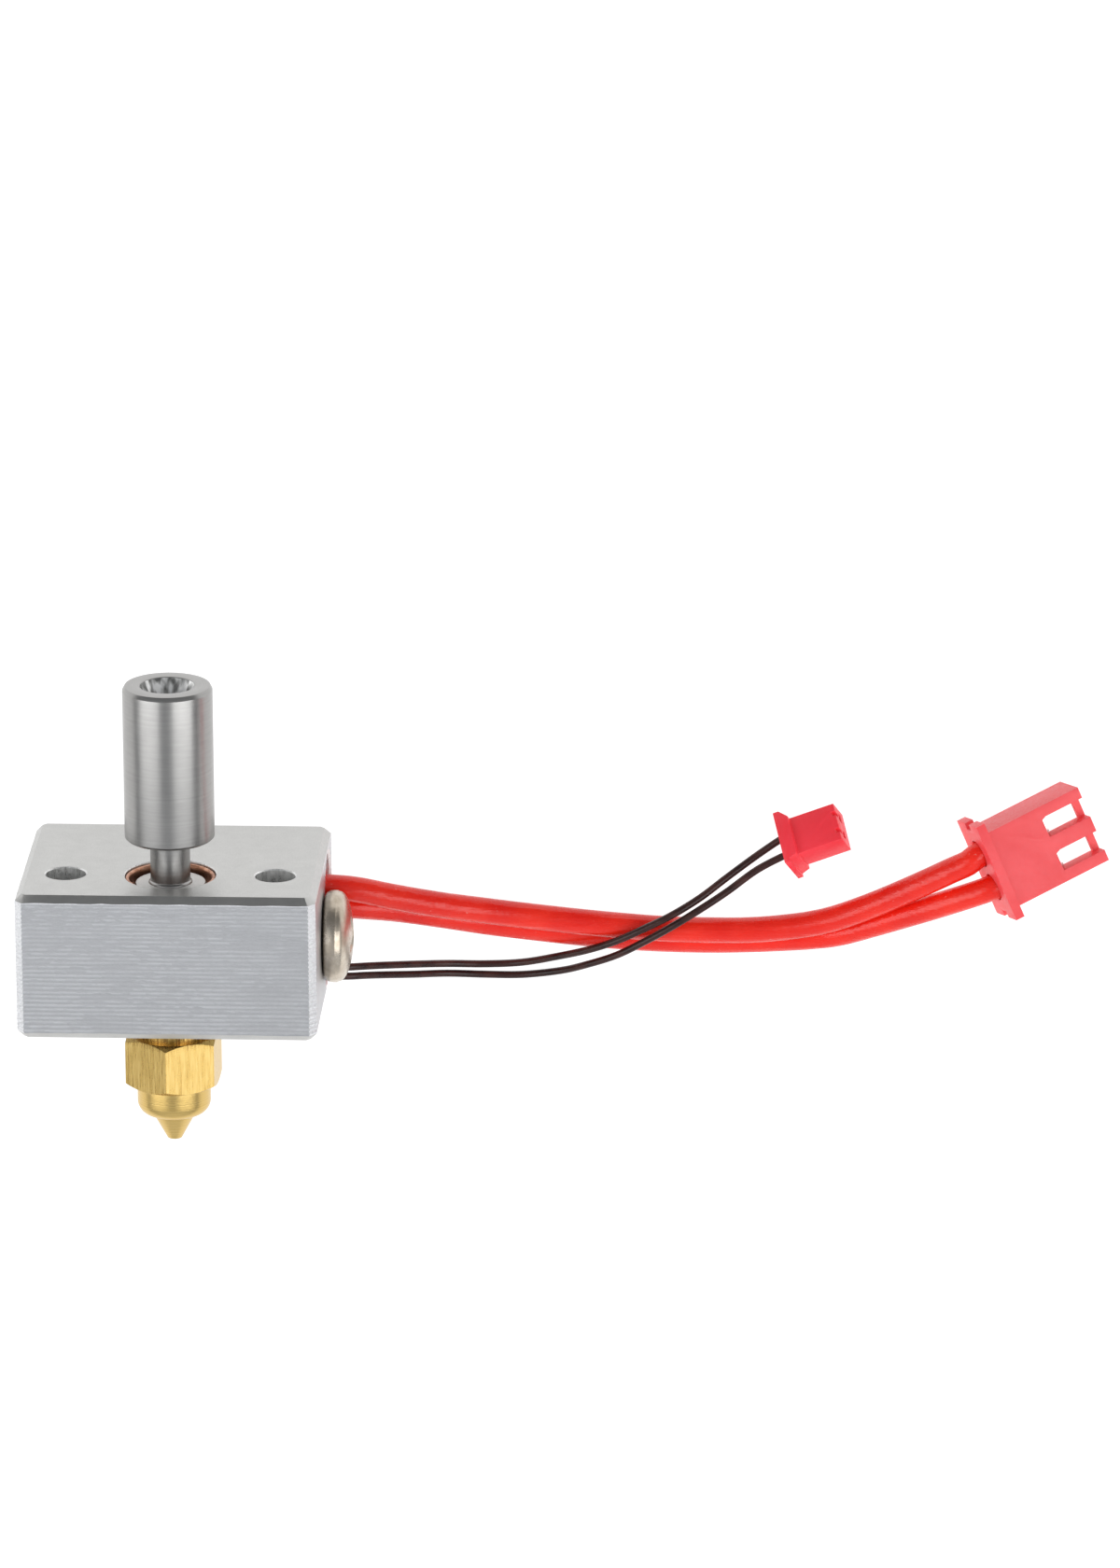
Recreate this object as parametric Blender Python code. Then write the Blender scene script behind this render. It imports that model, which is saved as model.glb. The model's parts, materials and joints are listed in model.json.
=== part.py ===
"""Hot end of a small 3-D printer: heater block, throat, nozzle, heater, thermistor and leads.

The part lies on the back face of its block, as it lies on a table:
+X runs along the block towards the leads, +Y runs up the throat, away from the nozzle,
and +Z is up, out of the block's front face. Z = 0 is the block's back face.
In use the part is turned so that the nozzle points down.
All numbers below are millimetres; MM turns them into metres.
"""

import bmesh
import bpy
from math import cos, pi, radians, sin
from mathutils import Euler, Matrix, Vector

MM = 0.001

# ---- driving dimensions, in millimetres ----
BLOCK_LENGTH, BLOCK_HEIGHT, BLOCK_DEPTH = 20.0, 10.0, 16.0
BLOCK_CHAMFER = 0.45
TOP = BLOCK_HEIGHT / 2
RIGHT = BLOCK_LENGTH / 2
GAP = 0.05

THROAT_Z = 11.0
MOUNT_HOLE_RADIUS, MOUNT_HOLE_X = 1.35, 7.0

THROAT_RADIUS, THROAT_TOP, THROAT_SHOULDER = 3.0, 18.23, 7.6
NECK_RADIUS, SPIGOT_TOP = 1.33, 4.5
SPIGOT_RADIUS, SPIGOT_ROOT, SPIGOT_PITCH, SPIGOT_END = 2.4, 2.05, 0.8, 0.4
FILAMENT_RADIUS = 0.95
FUNNEL_RADIUS, FUNNEL_DEPTH = 1.85, 2.2
RING_RADIUS, RING_INNER, RING_LOW, RING_TOP = 3.0, 2.74, 4.0, 4.88

NOZZLE_THREAD_TOP, NOZZLE_THREAD_RADIUS, NOZZLE_THREAD_ROOT, NOZZLE_PITCH = -0.2, 2.95, 2.5, 1.0
HEX_TOP, HEX_BOTTOM, HEX_FLATS, HEX_TURN = -6.1, -9.6, 6.0, -3.9
COLLAR_RADIUS, COLLAR_BOTTOM = 2.46, -10.85
CONE_RADIUS, CONE_TOP = 1.45, -11.8
TIP_RADIUS, TIP_Y, ORIFICE_RADIUS = 0.48, -13.6, 0.2
MELT_BOTTOM = -11.6

HEATER_Y, HEATER_Z, HEATER_RADIUS = 1.2, 3.9, 2.95
HEATER_BORE = 3.05
CORE_RADIUS, CORE_LEFT, CORE_RIGHT = 1.85, -8.6, 7.3
COIL_RADIUS, COIL_WIRE, COIL_PITCH, COIL_TURNS, COIL_LEFT = 2.2, 0.12, 1.25, 10, -7.2
PIN_RADIUS, PIN_LEFT, PIN_RIGHT = 0.3, 2.0, 7.75
SEAL_LEFT, SEAL_RIGHT = 7.5, 8.9

SENSOR_Y, SENSOR_Z, SENSOR_RADIUS, SENSOR_BORE = -3.45, 6.0, 0.95, 1.05
SENSOR_LEFT, SENSOR_RIGHT = -2.0, 9.7
BEAD_X, BEAD_RADIUS = -0.9, 0.5

SCREW_Y, SCREW_Z = -0.2, 8.1
SCREW_HEAD_RADIUS, SCREW_HEAD_HEIGHT = 3.1, 1.95
SCREW_RADIUS, SCREW_ROOT, SCREW_PITCH, SCREW_END = 1.25, 1.0, 0.45, 3.6
RECESS_TURNS = (20, 110)

HEATER_LEAD_RADIUS, SENSOR_LEAD_RADIUS = 0.875, 0.25
POWER_PITCH, SENSOR_PITCH = 1.25, 0.625

POWER_PLUG_AT = Vector((54.34, 3.8, 4.66))
POWER_PLUG_TURN = Euler((radians(-2.9), radians(21.9), radians(22.2)))
SENSOR_PLUG_AT = Vector((40.78, 4.64, 2.45))
SENSOR_PLUG_TURN = Euler((radians(-42.0), radians(-3.0), radians(21.3)))

# Routes of the four leads, chosen by hand: out of the bore, down to the surface, to the plug.
HEATER_LEAD_A = [
    (7.9, 2.05, 4.5), (10.0, 2.05, 4.5), (12.0, 1.85, 4.4), (14.5, 1.22, 4.0), (17.6, 0.5, 3.4),
    (20.5, -0.05, 2.85), (23.0, -0.45, 2.55), (26.6, -0.9, 2.35), (29.7, -1.2, 2.3), (32.7, -1.4, 2.3),
    (35.8, -1.45, 2.3), (38.2, -1.4, 2.35), (40.4, -1.2, 2.4), (42.6, -0.8, 2.6), (44.5, -0.2, 2.85),
    (47.1, 1.0, 3.35), (50.0, 2.62, 4.15), (52.0, 3.76, 4.58), (53.1, 4.35, 4.74),
]
HEATER_LEAD_B = [
    (7.9, 0.4, 3.35), (10.0, 0.4, 3.35), (12.0, 0.25, 3.1), (14.5, -0.15, 2.45), (17.5, -0.8, 1.7),
    (20.4, -1.42, 1.15), (23.0, -1.8, 0.95), (26.6, -2.2, 0.92), (29.6, -2.45, 0.92), (32.7, -2.6, 0.92),
    (35.7, -2.63, 0.92), (38.1, -2.57, 0.92), (40.3, -2.46, 0.92), (42.6, -2.26, 1.0), (44.5, -1.9, 1.25),
    (47.1, -0.85, 2.1), (50.1, 0.54, 3.4), (52.0, 1.4, 4.08), (53.4, 2.05, 4.56),
]
SENSOR_LEAD_A = [
    (-0.2, -3.15, 6.0), (8.0, -3.15, 6.0), (10.0, -3.15, 6.0), (11.4, -3.2, 5.75), (13.0, -3.48, 4.6),
    (15.6, -4.03, 2.6), (17.9, -4.5, 1.0), (20.4, -4.7, 0.4), (22.9, -4.5, 0.55), (25.3, -3.7, 1.6),
    (27.5, -2.8, 2.75), (29.4, -1.9, 3.5), (31.3, -0.9, 3.8), (33.2, 0.1, 3.8), (35.1, 1.2, 3.3),
    (36.9, 2.45, 2.6), (38.9, 3.85, 2.05),
]
SENSOR_LEAD_B = [
    (-0.2, -3.75, 6.0), (8.0, -3.75, 6.0), (10.0, -3.75, 6.0), (11.4, -3.85, 5.75), (13.0, -4.15, 4.6),
    (15.6, -4.75, 2.6), (17.9, -5.2, 1.0), (20.4, -5.45, 0.4), (22.9, -5.45, 0.35), (25.5, -4.95, 0.9),
    (27.4, -4.1, 2.0), (29.4, -3.1, 2.95), (31.3, -1.9, 3.6), (33.2, -0.7, 3.85), (35.1, 0.5, 3.7),
    (36.9, 1.65, 3.3), (38.9, 3.1, 2.95),
]

# ---- frames: a turned piece's own Z runs along one of these axes ----
ALONG_Y = Matrix(((1, 0, 0), (0, 0, 1), (0, -1, 0))).to_4x4()
ALONG_X = Matrix(((0, 0, 1), (0, 1, 0), (-1, 0, 0))).to_4x4()


def axis_at(turn, x, y, z):
    """A frame whose Z runs along the turned axis and whose origin is (x, y, z)."""
    return Matrix.Translation(Vector((x, y, z)) * MM) @ turn


THROAT_AXIS = axis_at(ALONG_Y, 0, 0, THROAT_Z)
HEATER_AXIS = axis_at(ALONG_X, 0, HEATER_Y, HEATER_Z)
SENSOR_AXIS = axis_at(ALONG_X, 0, SENSOR_Y, SENSOR_Z)
SCREW_AXIS = axis_at(ALONG_X, 0, SCREW_Y, SCREW_Z)


def plug_frame(place, turn):
    return Matrix.Translation(place * MM) @ turn.to_matrix().to_4x4()


POWER_FRAME = plug_frame(POWER_PLUG_AT, POWER_PLUG_TURN)
SENSOR_FRAME = plug_frame(SENSOR_PLUG_AT, SENSOR_PLUG_TURN)


# ---- materials ----
def material(name, colour, roughness, metallic):
    made = bpy.data.materials.new(name)
    made.use_nodes = True
    shader = made.node_tree.nodes["Principled BSDF"]
    shader.inputs["Base Color"].default_value = (*colour, 1.0)
    shader.inputs["Roughness"].default_value = roughness
    shader.inputs["Metallic"].default_value = metallic
    made.diffuse_color = (*colour, 1.0)
    return made


# ---- shapes ----
def node(name, mesh, finish, matrix=None):
    """Make the named object for one piece and round its shading."""
    made = bpy.data.objects.new(name, mesh)
    bpy.context.scene.collection.objects.link(made)
    if matrix is not None:
        made.matrix_world = matrix
    if finish is not None:
        mesh.materials.append(finish)
        mesh.shade_smooth()
        mesh.set_sharp_from_angle(angle=radians(35))
    return made


def cutter(made):
    made.hide_render = True
    made.display_type = "WIRE"
    return made


def boolean(target, tool, operation="DIFFERENCE"):
    change = target.modifiers.new(tool.name, "BOOLEAN")
    change.operation = operation
    change.solver = "EXACT"
    change.object = cutter(tool)


def mesh_from(build, name):
    """Fill a mesh with build(bm), then turn its faces outward."""
    bm = bmesh.new()
    build(bm)
    bmesh.ops.recalc_face_normals(bm, faces=bm.faces)
    mesh = bpy.data.meshes.new(name)
    bm.to_mesh(mesh)
    bm.free()
    return mesh


def turned(name, outline, finish, frame, sides=32, turn=0.0):
    """Turn an outline of (radius, along) round the frame's Z. The outline closes on itself,
    unless it starts and ends on the axis."""
    closed = outline[0][0] > 0 or outline[-1][0] > 0

    def build(bm):
        rings = []
        for radius, along in outline:
            if radius == 0:
                rings.append([bm.verts.new((0, 0, along * MM))])
                continue
            angles = [turn + 2 * pi * k / sides for k in range(sides)]
            rings.append([bm.verts.new((radius * cos(a) * MM, radius * sin(a) * MM, along * MM))
                          for a in angles])
        pairs = list(zip(rings, rings[1:])) + ([(rings[-1], rings[0])] if closed else [])
        for low, high in pairs:
            for k in range(sides):
                corners = [low[k % len(low)], low[(k + 1) % sides % len(low)],
                           high[(k + 1) % sides % len(high)], high[k % len(high)]]
                bm.faces.new(list(dict.fromkeys(corners)))

    return node(name, mesh_from(build, name), finish, frame)


def thread(low, high, pitch, crest, root):
    """Ridges of a thread as outline points from low to high, drawn as rings at the thread's pitch."""
    ridges = int((high - low) / pitch)
    points = []
    for k in range(ridges):
        start = low + k * pitch
        points += [(root, start), (crest, start + 0.5 * pitch)]
    return points + [(root, low + ridges * pitch)]


def block(name, low, high, finish, frame=None, bevel=0.0):
    """A box between two corners, with its edges chamfered."""

    def build(bm):
        size = (Vector(high) - Vector(low)) * MM
        centre = (Vector(high) + Vector(low)) * MM / 2
        shape = bmesh.ops.create_cube(bm, size=1.0)
        bmesh.ops.scale(bm, vec=size, verts=shape["verts"])
        bmesh.ops.translate(bm, vec=centre, verts=shape["verts"])

    made = node(name, mesh_from(build, name), finish, frame)
    if bevel:
        edges = made.modifiers.new("edges", "BEVEL")
        edges.width = bevel * MM
        edges.segments = 1
        edges.limit_method = "ANGLE"
    return made


def extruded(name, outline, low, high, finish, frame=None):
    """Extrude an outline of (x, y) from z = low to z = high."""

    def build(bm):
        base = [bm.verts.new((x * MM, y * MM, low * MM)) for x, y in outline]
        face = bm.faces.new(base)
        grown = bmesh.ops.extrude_face_region(bm, geom=[face])
        top = [g for g in grown["geom"] if isinstance(g, bmesh.types.BMVert)]
        bmesh.ops.translate(bm, vec=(0, 0, (high - low) * MM), verts=top)

    return node(name, mesh_from(build, name), finish, frame)


def rod(name, radius, low, high, finish, frame, x=0.0, y=0.0, sides=16):
    """A plain round bar along the frame's Z, off its axis by (x, y)."""
    shifted = frame @ Matrix.Translation(Vector((x, y, 0)) * MM)
    return turned(name, [(0, low), (radius, low), (radius, high), (0, high)], finish, shifted, sides)


def smooth_path(points, step):
    """Points about a step apart on a Catmull-Rom curve through the route's own points."""
    spots = [Vector(p) for p in points]
    spots = [2 * spots[0] - spots[1]] + spots + [2 * spots[-1] - spots[-2]]
    path = []
    for a, b, c, d in zip(spots, spots[1:], spots[2:], spots[3:]):
        count = max(1, round((c - b).length / step))
        for k in range(count):
            t = k / count
            path.append(0.5 * (2 * b + (c - a) * t + (2 * a - 5 * b + 4 * c - d) * t ** 2
                               + (3 * b - a - 3 * c + d) * t ** 3))
    return path + [spots[-2]]


def tube(name, points, radius, finish, resolution=2):
    """A round tube along points, as a curve with filled caps."""
    curve = bpy.data.curves.new(name, "CURVE")
    curve.dimensions = "3D"
    curve.bevel_depth = radius * MM
    curve.bevel_resolution = resolution
    curve.use_fill_caps = True
    spline = curve.splines.new("POLY")
    spline.points.add(len(points) - 1)
    for spot, place in zip(spline.points, points):
        spot.co = (*(Vector(place) * MM), 1.0)
    curve.materials.append(finish)
    made = bpy.data.objects.new(name, curve)
    bpy.context.scene.collection.objects.link(made)
    return made


# ---- the pieces ----
def heater_block(finish):
    body = block("heater_block", (-RIGHT, -TOP, 0), (RIGHT, TOP, BLOCK_DEPTH), finish,
                 bevel=BLOCK_CHAMFER)
    past = 1.0
    spigot_bore, nozzle_bore = SPIGOT_RADIUS + 0.1, NOZZLE_THREAD_RADIUS + 0.1
    ring_bore = RING_RADIUS + GAP
    boolean(body, turned("throat_bore", [
        (0, -TOP - past), (nozzle_bore, -TOP - past), (nozzle_bore, 0), (spigot_bore, 0),
        (spigot_bore, RING_LOW - GAP), (ring_bore, RING_LOW - GAP),
        (ring_bore, TOP + past), (0, TOP + past)], None, THROAT_AXIS, 48))
    for side in (-1, 1):
        boolean(body, rod("mount_hole", MOUNT_HOLE_RADIUS, -TOP - past, TOP + past, None,
                          THROAT_AXIS, x=side * MOUNT_HOLE_X, sides=24))
    boolean(body, rod("heater_bore", HEATER_BORE, -RIGHT - past, RIGHT + past, None,
                      HEATER_AXIS, sides=48))
    boolean(body, rod("sensor_bore", SENSOR_BORE, SENSOR_LEFT - 0.4, RIGHT + past, None,
                      SENSOR_AXIS, sides=24))
    boolean(body, rod("screw_bore", SCREW_RADIUS + GAP, SCREW_END - 0.4, RIGHT + past, None,
                      SCREW_AXIS, sides=24))
    return body


def throat(finish):
    rim, rim_drop = 0.16, 0.3
    ridges = thread(SPIGOT_END + 0.2, SPIGOT_TOP - 0.3, SPIGOT_PITCH, SPIGOT_RADIUS, SPIGOT_ROOT)
    outline = [(FILAMENT_RADIUS, SPIGOT_END), (SPIGOT_ROOT - 0.1, SPIGOT_END)]
    outline += ridges
    outline += [(SPIGOT_RADIUS - 0.07, SPIGOT_TOP - 0.2), (SPIGOT_RADIUS - 0.15, SPIGOT_TOP),
                (NECK_RADIUS + 0.15, SPIGOT_TOP), (NECK_RADIUS, SPIGOT_TOP + 0.2),
                (NECK_RADIUS, THROAT_SHOULDER), (THROAT_RADIUS - 0.15, THROAT_SHOULDER),
                (THROAT_RADIUS, THROAT_SHOULDER + 0.15), (THROAT_RADIUS, THROAT_TOP - rim_drop),
                (THROAT_RADIUS - rim, THROAT_TOP), (FUNNEL_RADIUS, THROAT_TOP),
                (FILAMENT_RADIUS, THROAT_TOP - FUNNEL_DEPTH)]
    return turned("throat", outline, finish, THROAT_AXIS, 32)


def copper_ring(finish):
    return turned("copper_ring", [(RING_INNER, RING_LOW), (RING_RADIUS, RING_LOW),
                                  (RING_RADIUS, RING_TOP - 0.05), (RING_INNER + 0.1, RING_TOP),
                                  (RING_INNER, RING_TOP - 0.08)], finish, THROAT_AXIS, 40)


def nozzle(finish):
    """The hexagon is trimmed by a turned shape for its chamfers, then joined to shank and tip."""
    corner = HEX_FLATS / 2 / cos(pi / 6)
    bite = corner - HEX_FLATS / 2 + 0.02
    made = turned("nozzle", [(0, HEX_BOTTOM), (corner, HEX_BOTTOM), (corner, HEX_TOP), (0, HEX_TOP)],
                  finish, THROAT_AXIS, 6, turn=radians(HEX_TURN - 90))
    boolean(made, turned("hex_chamfer", [
        (0, HEX_BOTTOM), (corner - bite, HEX_BOTTOM), (corner + 0.05, HEX_BOTTOM + bite * 0.75),
        (corner + 0.05, HEX_TOP - bite * 0.75), (corner - bite, HEX_TOP), (0, HEX_TOP)],
        None, THROAT_AXIS, 48), "INTERSECT")
    ridges = thread(-TOP - 0.1, NOZZLE_THREAD_TOP - 0.3, NOZZLE_PITCH, NOZZLE_THREAD_RADIUS,
                    NOZZLE_THREAD_ROOT)
    shank = [(0, HEX_TOP - 1), (NOZZLE_THREAD_ROOT, HEX_TOP - 1)]
    shank += ridges
    shank += [(NOZZLE_THREAD_ROOT - 0.1, NOZZLE_THREAD_TOP), (0, NOZZLE_THREAD_TOP)]
    boolean(made, turned("nozzle_shank", shank, None, THROAT_AXIS, 32), "UNION")
    bulge = COLLAR_BOTTOM - CONE_TOP
    tip = [(0, HEX_BOTTOM + 1), (COLLAR_RADIUS, HEX_BOTTOM + 1), (COLLAR_RADIUS, COLLAR_BOTTOM)]
    for k in range(1, 6):
        angle = radians(16 * k)
        tip.append((COLLAR_RADIUS - bulge * (1 - cos(angle)), COLLAR_BOTTOM - bulge * sin(angle)))
    tip += [(CONE_RADIUS, CONE_TOP), (TIP_RADIUS, TIP_Y), (0, TIP_Y)]
    boolean(made, turned("nozzle_tip", tip, None, THROAT_AXIS, 32), "UNION")
    boolean(made, turned("melt_channel", [
        (0, TIP_Y - 1), (ORIFICE_RADIUS, TIP_Y - 1), (ORIFICE_RADIUS, TIP_Y + 0.5),
        (FILAMENT_RADIUS, MELT_BOTTOM), (FILAMENT_RADIUS, 0.5), (0, 0.5)], None, THROAT_AXIS, 24))
    return made


def clamp_screw(finish):
    """Thread into the block, rounded head outside it, cross recess in the dome."""
    under, back, rim, steps = RIGHT + GAP, 0.35, 0.95, 5
    recess_half, recess_wide, recess_depth = 1.9, 0.36, 1.2
    outline = [(0, SCREW_END), (SCREW_ROOT - 0.15, SCREW_END)]
    outline += thread(SCREW_END + 0.15, RIGHT - 0.3, SCREW_PITCH, SCREW_RADIUS, SCREW_ROOT)
    outline += [(SCREW_ROOT, under), (SCREW_HEAD_RADIUS - back, under),
                (SCREW_HEAD_RADIUS - 0.1, under + 0.12), (SCREW_HEAD_RADIUS, under + back)]
    dome = SCREW_HEAD_HEIGHT - rim
    outline += [(SCREW_HEAD_RADIUS * cos(pi / 2 * k / steps), under + rim + dome * sin(pi / 2 * k / steps))
                for k in range(steps)]
    outline.append((0, under + SCREW_HEAD_HEIGHT))
    made = turned("clamp_screw", outline, finish, SCREW_AXIS, 24)
    face = under + SCREW_HEAD_HEIGHT
    for turn in RECESS_TURNS:
        frame = SCREW_AXIS @ Matrix.Rotation(radians(turn), 4, "Z")
        boolean(made, block("recess_arm", (-recess_half, -recess_wide, face - recess_depth),
                            (recess_half, recess_wide, face + 1), None, frame))
    return made


def heater(steel, ceramic, wire):
    wall, floor, chamfer = 0.35, 0.6, 0.2
    inner = HEATER_RADIUS - wall
    left, right = -RIGHT + 0.2, RIGHT - 0.7
    turned("heater_sheath", [(0, left), (HEATER_RADIUS - chamfer, left), (HEATER_RADIUS, left + chamfer),
                             (HEATER_RADIUS, right), (inner, right), (inner, left + floor),
                             (0, left + floor)], steel, HEATER_AXIS, 40)
    core = rod("heater_core", CORE_RADIUS, CORE_LEFT, CORE_RIGHT, ceramic, HEATER_AXIS, sides=24)
    seal = rod("heater_end_seal", inner - 0.08, SEAL_LEFT, SEAL_RIGHT, ceramic, HEATER_AXIS, sides=32)
    for letter, route in (("a", HEATER_LEAD_A), ("b", HEATER_LEAD_B)):
        _, y, z = route[0]
        line = axis_at(ALONG_X, 0, y, z)
        boolean(core, rod("pin_hole", PIN_RADIUS + GAP, PIN_LEFT - 0.2, CORE_RIGHT + 1, None, line, sides=12))
        boolean(seal, rod("lead_hole", HEATER_LEAD_RADIUS + 0.06, SEAL_LEFT - 1, SEAL_RIGHT + 1, None,
                          line, sides=20))
        rod("heater_pin_" + letter, PIN_RADIUS, PIN_LEFT, PIN_RIGHT, steel, line, sides=10)
    steps = 8
    turns = [Vector((
        COIL_LEFT + COIL_PITCH * k / steps,
        HEATER_Y + COIL_RADIUS * cos(2 * pi * k / steps),
        HEATER_Z + COIL_RADIUS * sin(2 * pi * k / steps))) for k in range(COIL_TURNS * steps + 1)]
    tube("heater_coil", turns, COIL_WIRE, wire, resolution=1)


def thermistor(steel, ceramic, glass):
    wall, floor, chamfer = 0.2, 0.3, 0.15
    inner = SENSOR_RADIUS - wall
    turned("thermistor_capsule", [(0, SENSOR_LEFT), (SENSOR_RADIUS - chamfer, SENSOR_LEFT),
                                  (SENSOR_RADIUS, SENSOR_LEFT + chamfer), (SENSOR_RADIUS, SENSOR_RIGHT),
                                  (inner, SENSOR_RIGHT), (inner, SENSOR_LEFT + floor),
                                  (0, SENSOR_LEFT + floor)], steel, SENSOR_AXIS, 24)
    bead = [(0, BEAD_X - BEAD_RADIUS)]
    for k in range(1, 6):
        angle = pi * k / 6
        bead.append((BEAD_RADIUS * sin(angle), BEAD_X - BEAD_RADIUS * cos(angle)))
    turned("thermistor_bead", bead + [(0, BEAD_X + BEAD_RADIUS)], glass, SENSOR_AXIS, 16)
    seal_left, seal_right = SENSOR_RIGHT - 1.4, SENSOR_RIGHT - 0.1
    seal = rod("thermistor_seal", inner - GAP, seal_left, seal_right, ceramic, SENSOR_AXIS, sides=20)
    for route in (SENSOR_LEAD_A, SENSOR_LEAD_B):
        _, y, z = route[0]
        boolean(seal, rod("wire_hole", SENSOR_LEAD_RADIUS + 0.025, seal_left - 1, seal_right + 1,
                          None, axis_at(ALONG_X, 0, y, z), sides=12))


def lead(name, route, frame, side, inside, radius, finish, step):
    """A lead through its route, ending inside the plug on the line of its contact."""
    run_in = [frame @ (Vector((u, side, 0)) * MM) / MM for u in (0.0, inside)]
    tube(name, smooth_path(list(route) + run_in, step), radius, finish)


def power_plug(plastic, metal):
    """Two-way housing: its own X runs from the wires to the mating end. Each contact's chamber is open
    at the front from window to nose, under a bridge at the nose; the nose is open at the back."""
    half, thick, nose = 2.73, 1.79, 7.6
    flange, flange_thick, flange_end = 3.48, 2.04, 0.62
    rib, rib_depth, past = 0.42, 0.45, 1.0
    way, way_start, way_thick = 0.71, 1.2, 0.8
    window, bridge, bridge_top, bridge_low = 4.46, 7.1, 0.72, 0.36
    back, back_way, back_half = 4.3, 1.0, 2.5
    housing = block("power_plug", (0.0, -half, -thick), (nose, half, thick), plastic, POWER_FRAME)
    boolean(housing, block("power_flange", (0.0, -flange, -flange_thick),
                           (flange_end, flange, flange_thick), None, POWER_FRAME), "UNION")
    for side in (-1, 1):
        boolean(housing, block("flange_notch", (-past, side * flange - rib_depth, -rib),
                               (flange_end + past, side * flange + rib_depth, rib), None, POWER_FRAME))
    boolean(housing, block("back_opening", (back, -back_half, -thick - past),
                           (nose + past, back_half, -way_thick), None, POWER_FRAME))
    along = POWER_FRAME @ ALONG_X
    for side in (-POWER_PITCH, POWER_PITCH):
        boolean(housing, rod("wire_way", HEATER_LEAD_RADIUS + 0.1, -past, way_start + 0.4, None, along,
                             y=side, sides=20))
        boolean(housing, block("contact_way", (way_start, side - way, -way_thick),
                               (bridge, side + way, way_thick), None, POWER_FRAME))
        boolean(housing, block("front_slot", (window, side - way, bridge_top),
                               (nose + past, side + way, thick + past), None, POWER_FRAME))
        boolean(housing, block("back_way", (back, side - back_way, -way_thick - 0.2),
                               (nose + past, side + back_way, bridge_low), None, POWER_FRAME))
    for letter, side in (("a", POWER_PITCH), ("b", -POWER_PITCH)):
        contact("power_contact_" + letter, metal, POWER_FRAME, side, (1.3, 3.0, 4.9), 0.55, 0.62)
    return housing


def contact(name, metal, frame, side, along, barrel, box):
    """Crimp barrel behind a square spring box with an open mouth for the pin."""
    start, middle, end = along
    made = block(name, (middle, side - box, -box), (end, side + box, box), metal, frame)
    crimp = rod(name + "_barrel", barrel, start, middle + 0.2, None, frame @ ALONG_X, y=side, sides=12)
    boolean(made, crimp, "UNION")
    wall = box * 0.7
    boolean(made, block(name + "_mouth", (middle + 0.5, side - wall, -wall), (end + 1, side + wall, wall),
                        None, frame))
    return made


def sensor_plug(plastic, metal):
    """Two-way housing with a wide lip at the wire end and a small slit over each contact at the nose."""
    half, thick, nose = 1.35, 1.1, 4.1
    lip, lip_thick, lip_end, lip_foot = 1.9, 1.55, 0.4, 0.95
    way, way_start, way_end, way_thick = 0.4, 0.8, 3.6, 0.45
    slit, slit_length, slit_floor, pin, past = 0.14, 0.3, 0.5, 0.27, 1.0
    housing = block("sensor_plug", (0.0, -half, -thick), (nose, half, thick), plastic, SENSOR_FRAME)
    boolean(housing, extruded("sensor_lip", [
        (0.0, -lip), (lip_end, -lip), (lip_end, -lip + 0.25), (lip_foot, -half - 0.1),
        (lip_foot, half), (lip_end, lip), (0.0, lip)], -lip_thick, lip_thick, None, SENSOR_FRAME), "UNION")
    along = SENSOR_FRAME @ ALONG_X
    for side in (-SENSOR_PITCH, SENSOR_PITCH):
        boolean(housing, rod("wire_way", SENSOR_LEAD_RADIUS + 0.06, -past, way_start + 0.2, None, along,
                             y=side, sides=12))
        boolean(housing, block("contact_way", (way_start, side - way, -way_thick),
                               (way_end, side + way, way_thick), None, SENSOR_FRAME))
        boolean(housing, block("pin_way", (way_end - 0.2, side - pin, -pin),
                               (nose + past, side + pin, pin), None, SENSOR_FRAME))
        boolean(housing, block("nose_slit", (nose - slit_length, side - slit, slit_floor),
                               (nose + past, side + slit, thick + past), None, SENSOR_FRAME))
    for letter, side in (("a", SENSOR_PITCH), ("b", -SENSOR_PITCH)):
        contact("sensor_contact_" + letter, metal, SENSOR_FRAME, side, (0.95, 1.8, 3.3), 0.28, 0.34)
    return housing


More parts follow.
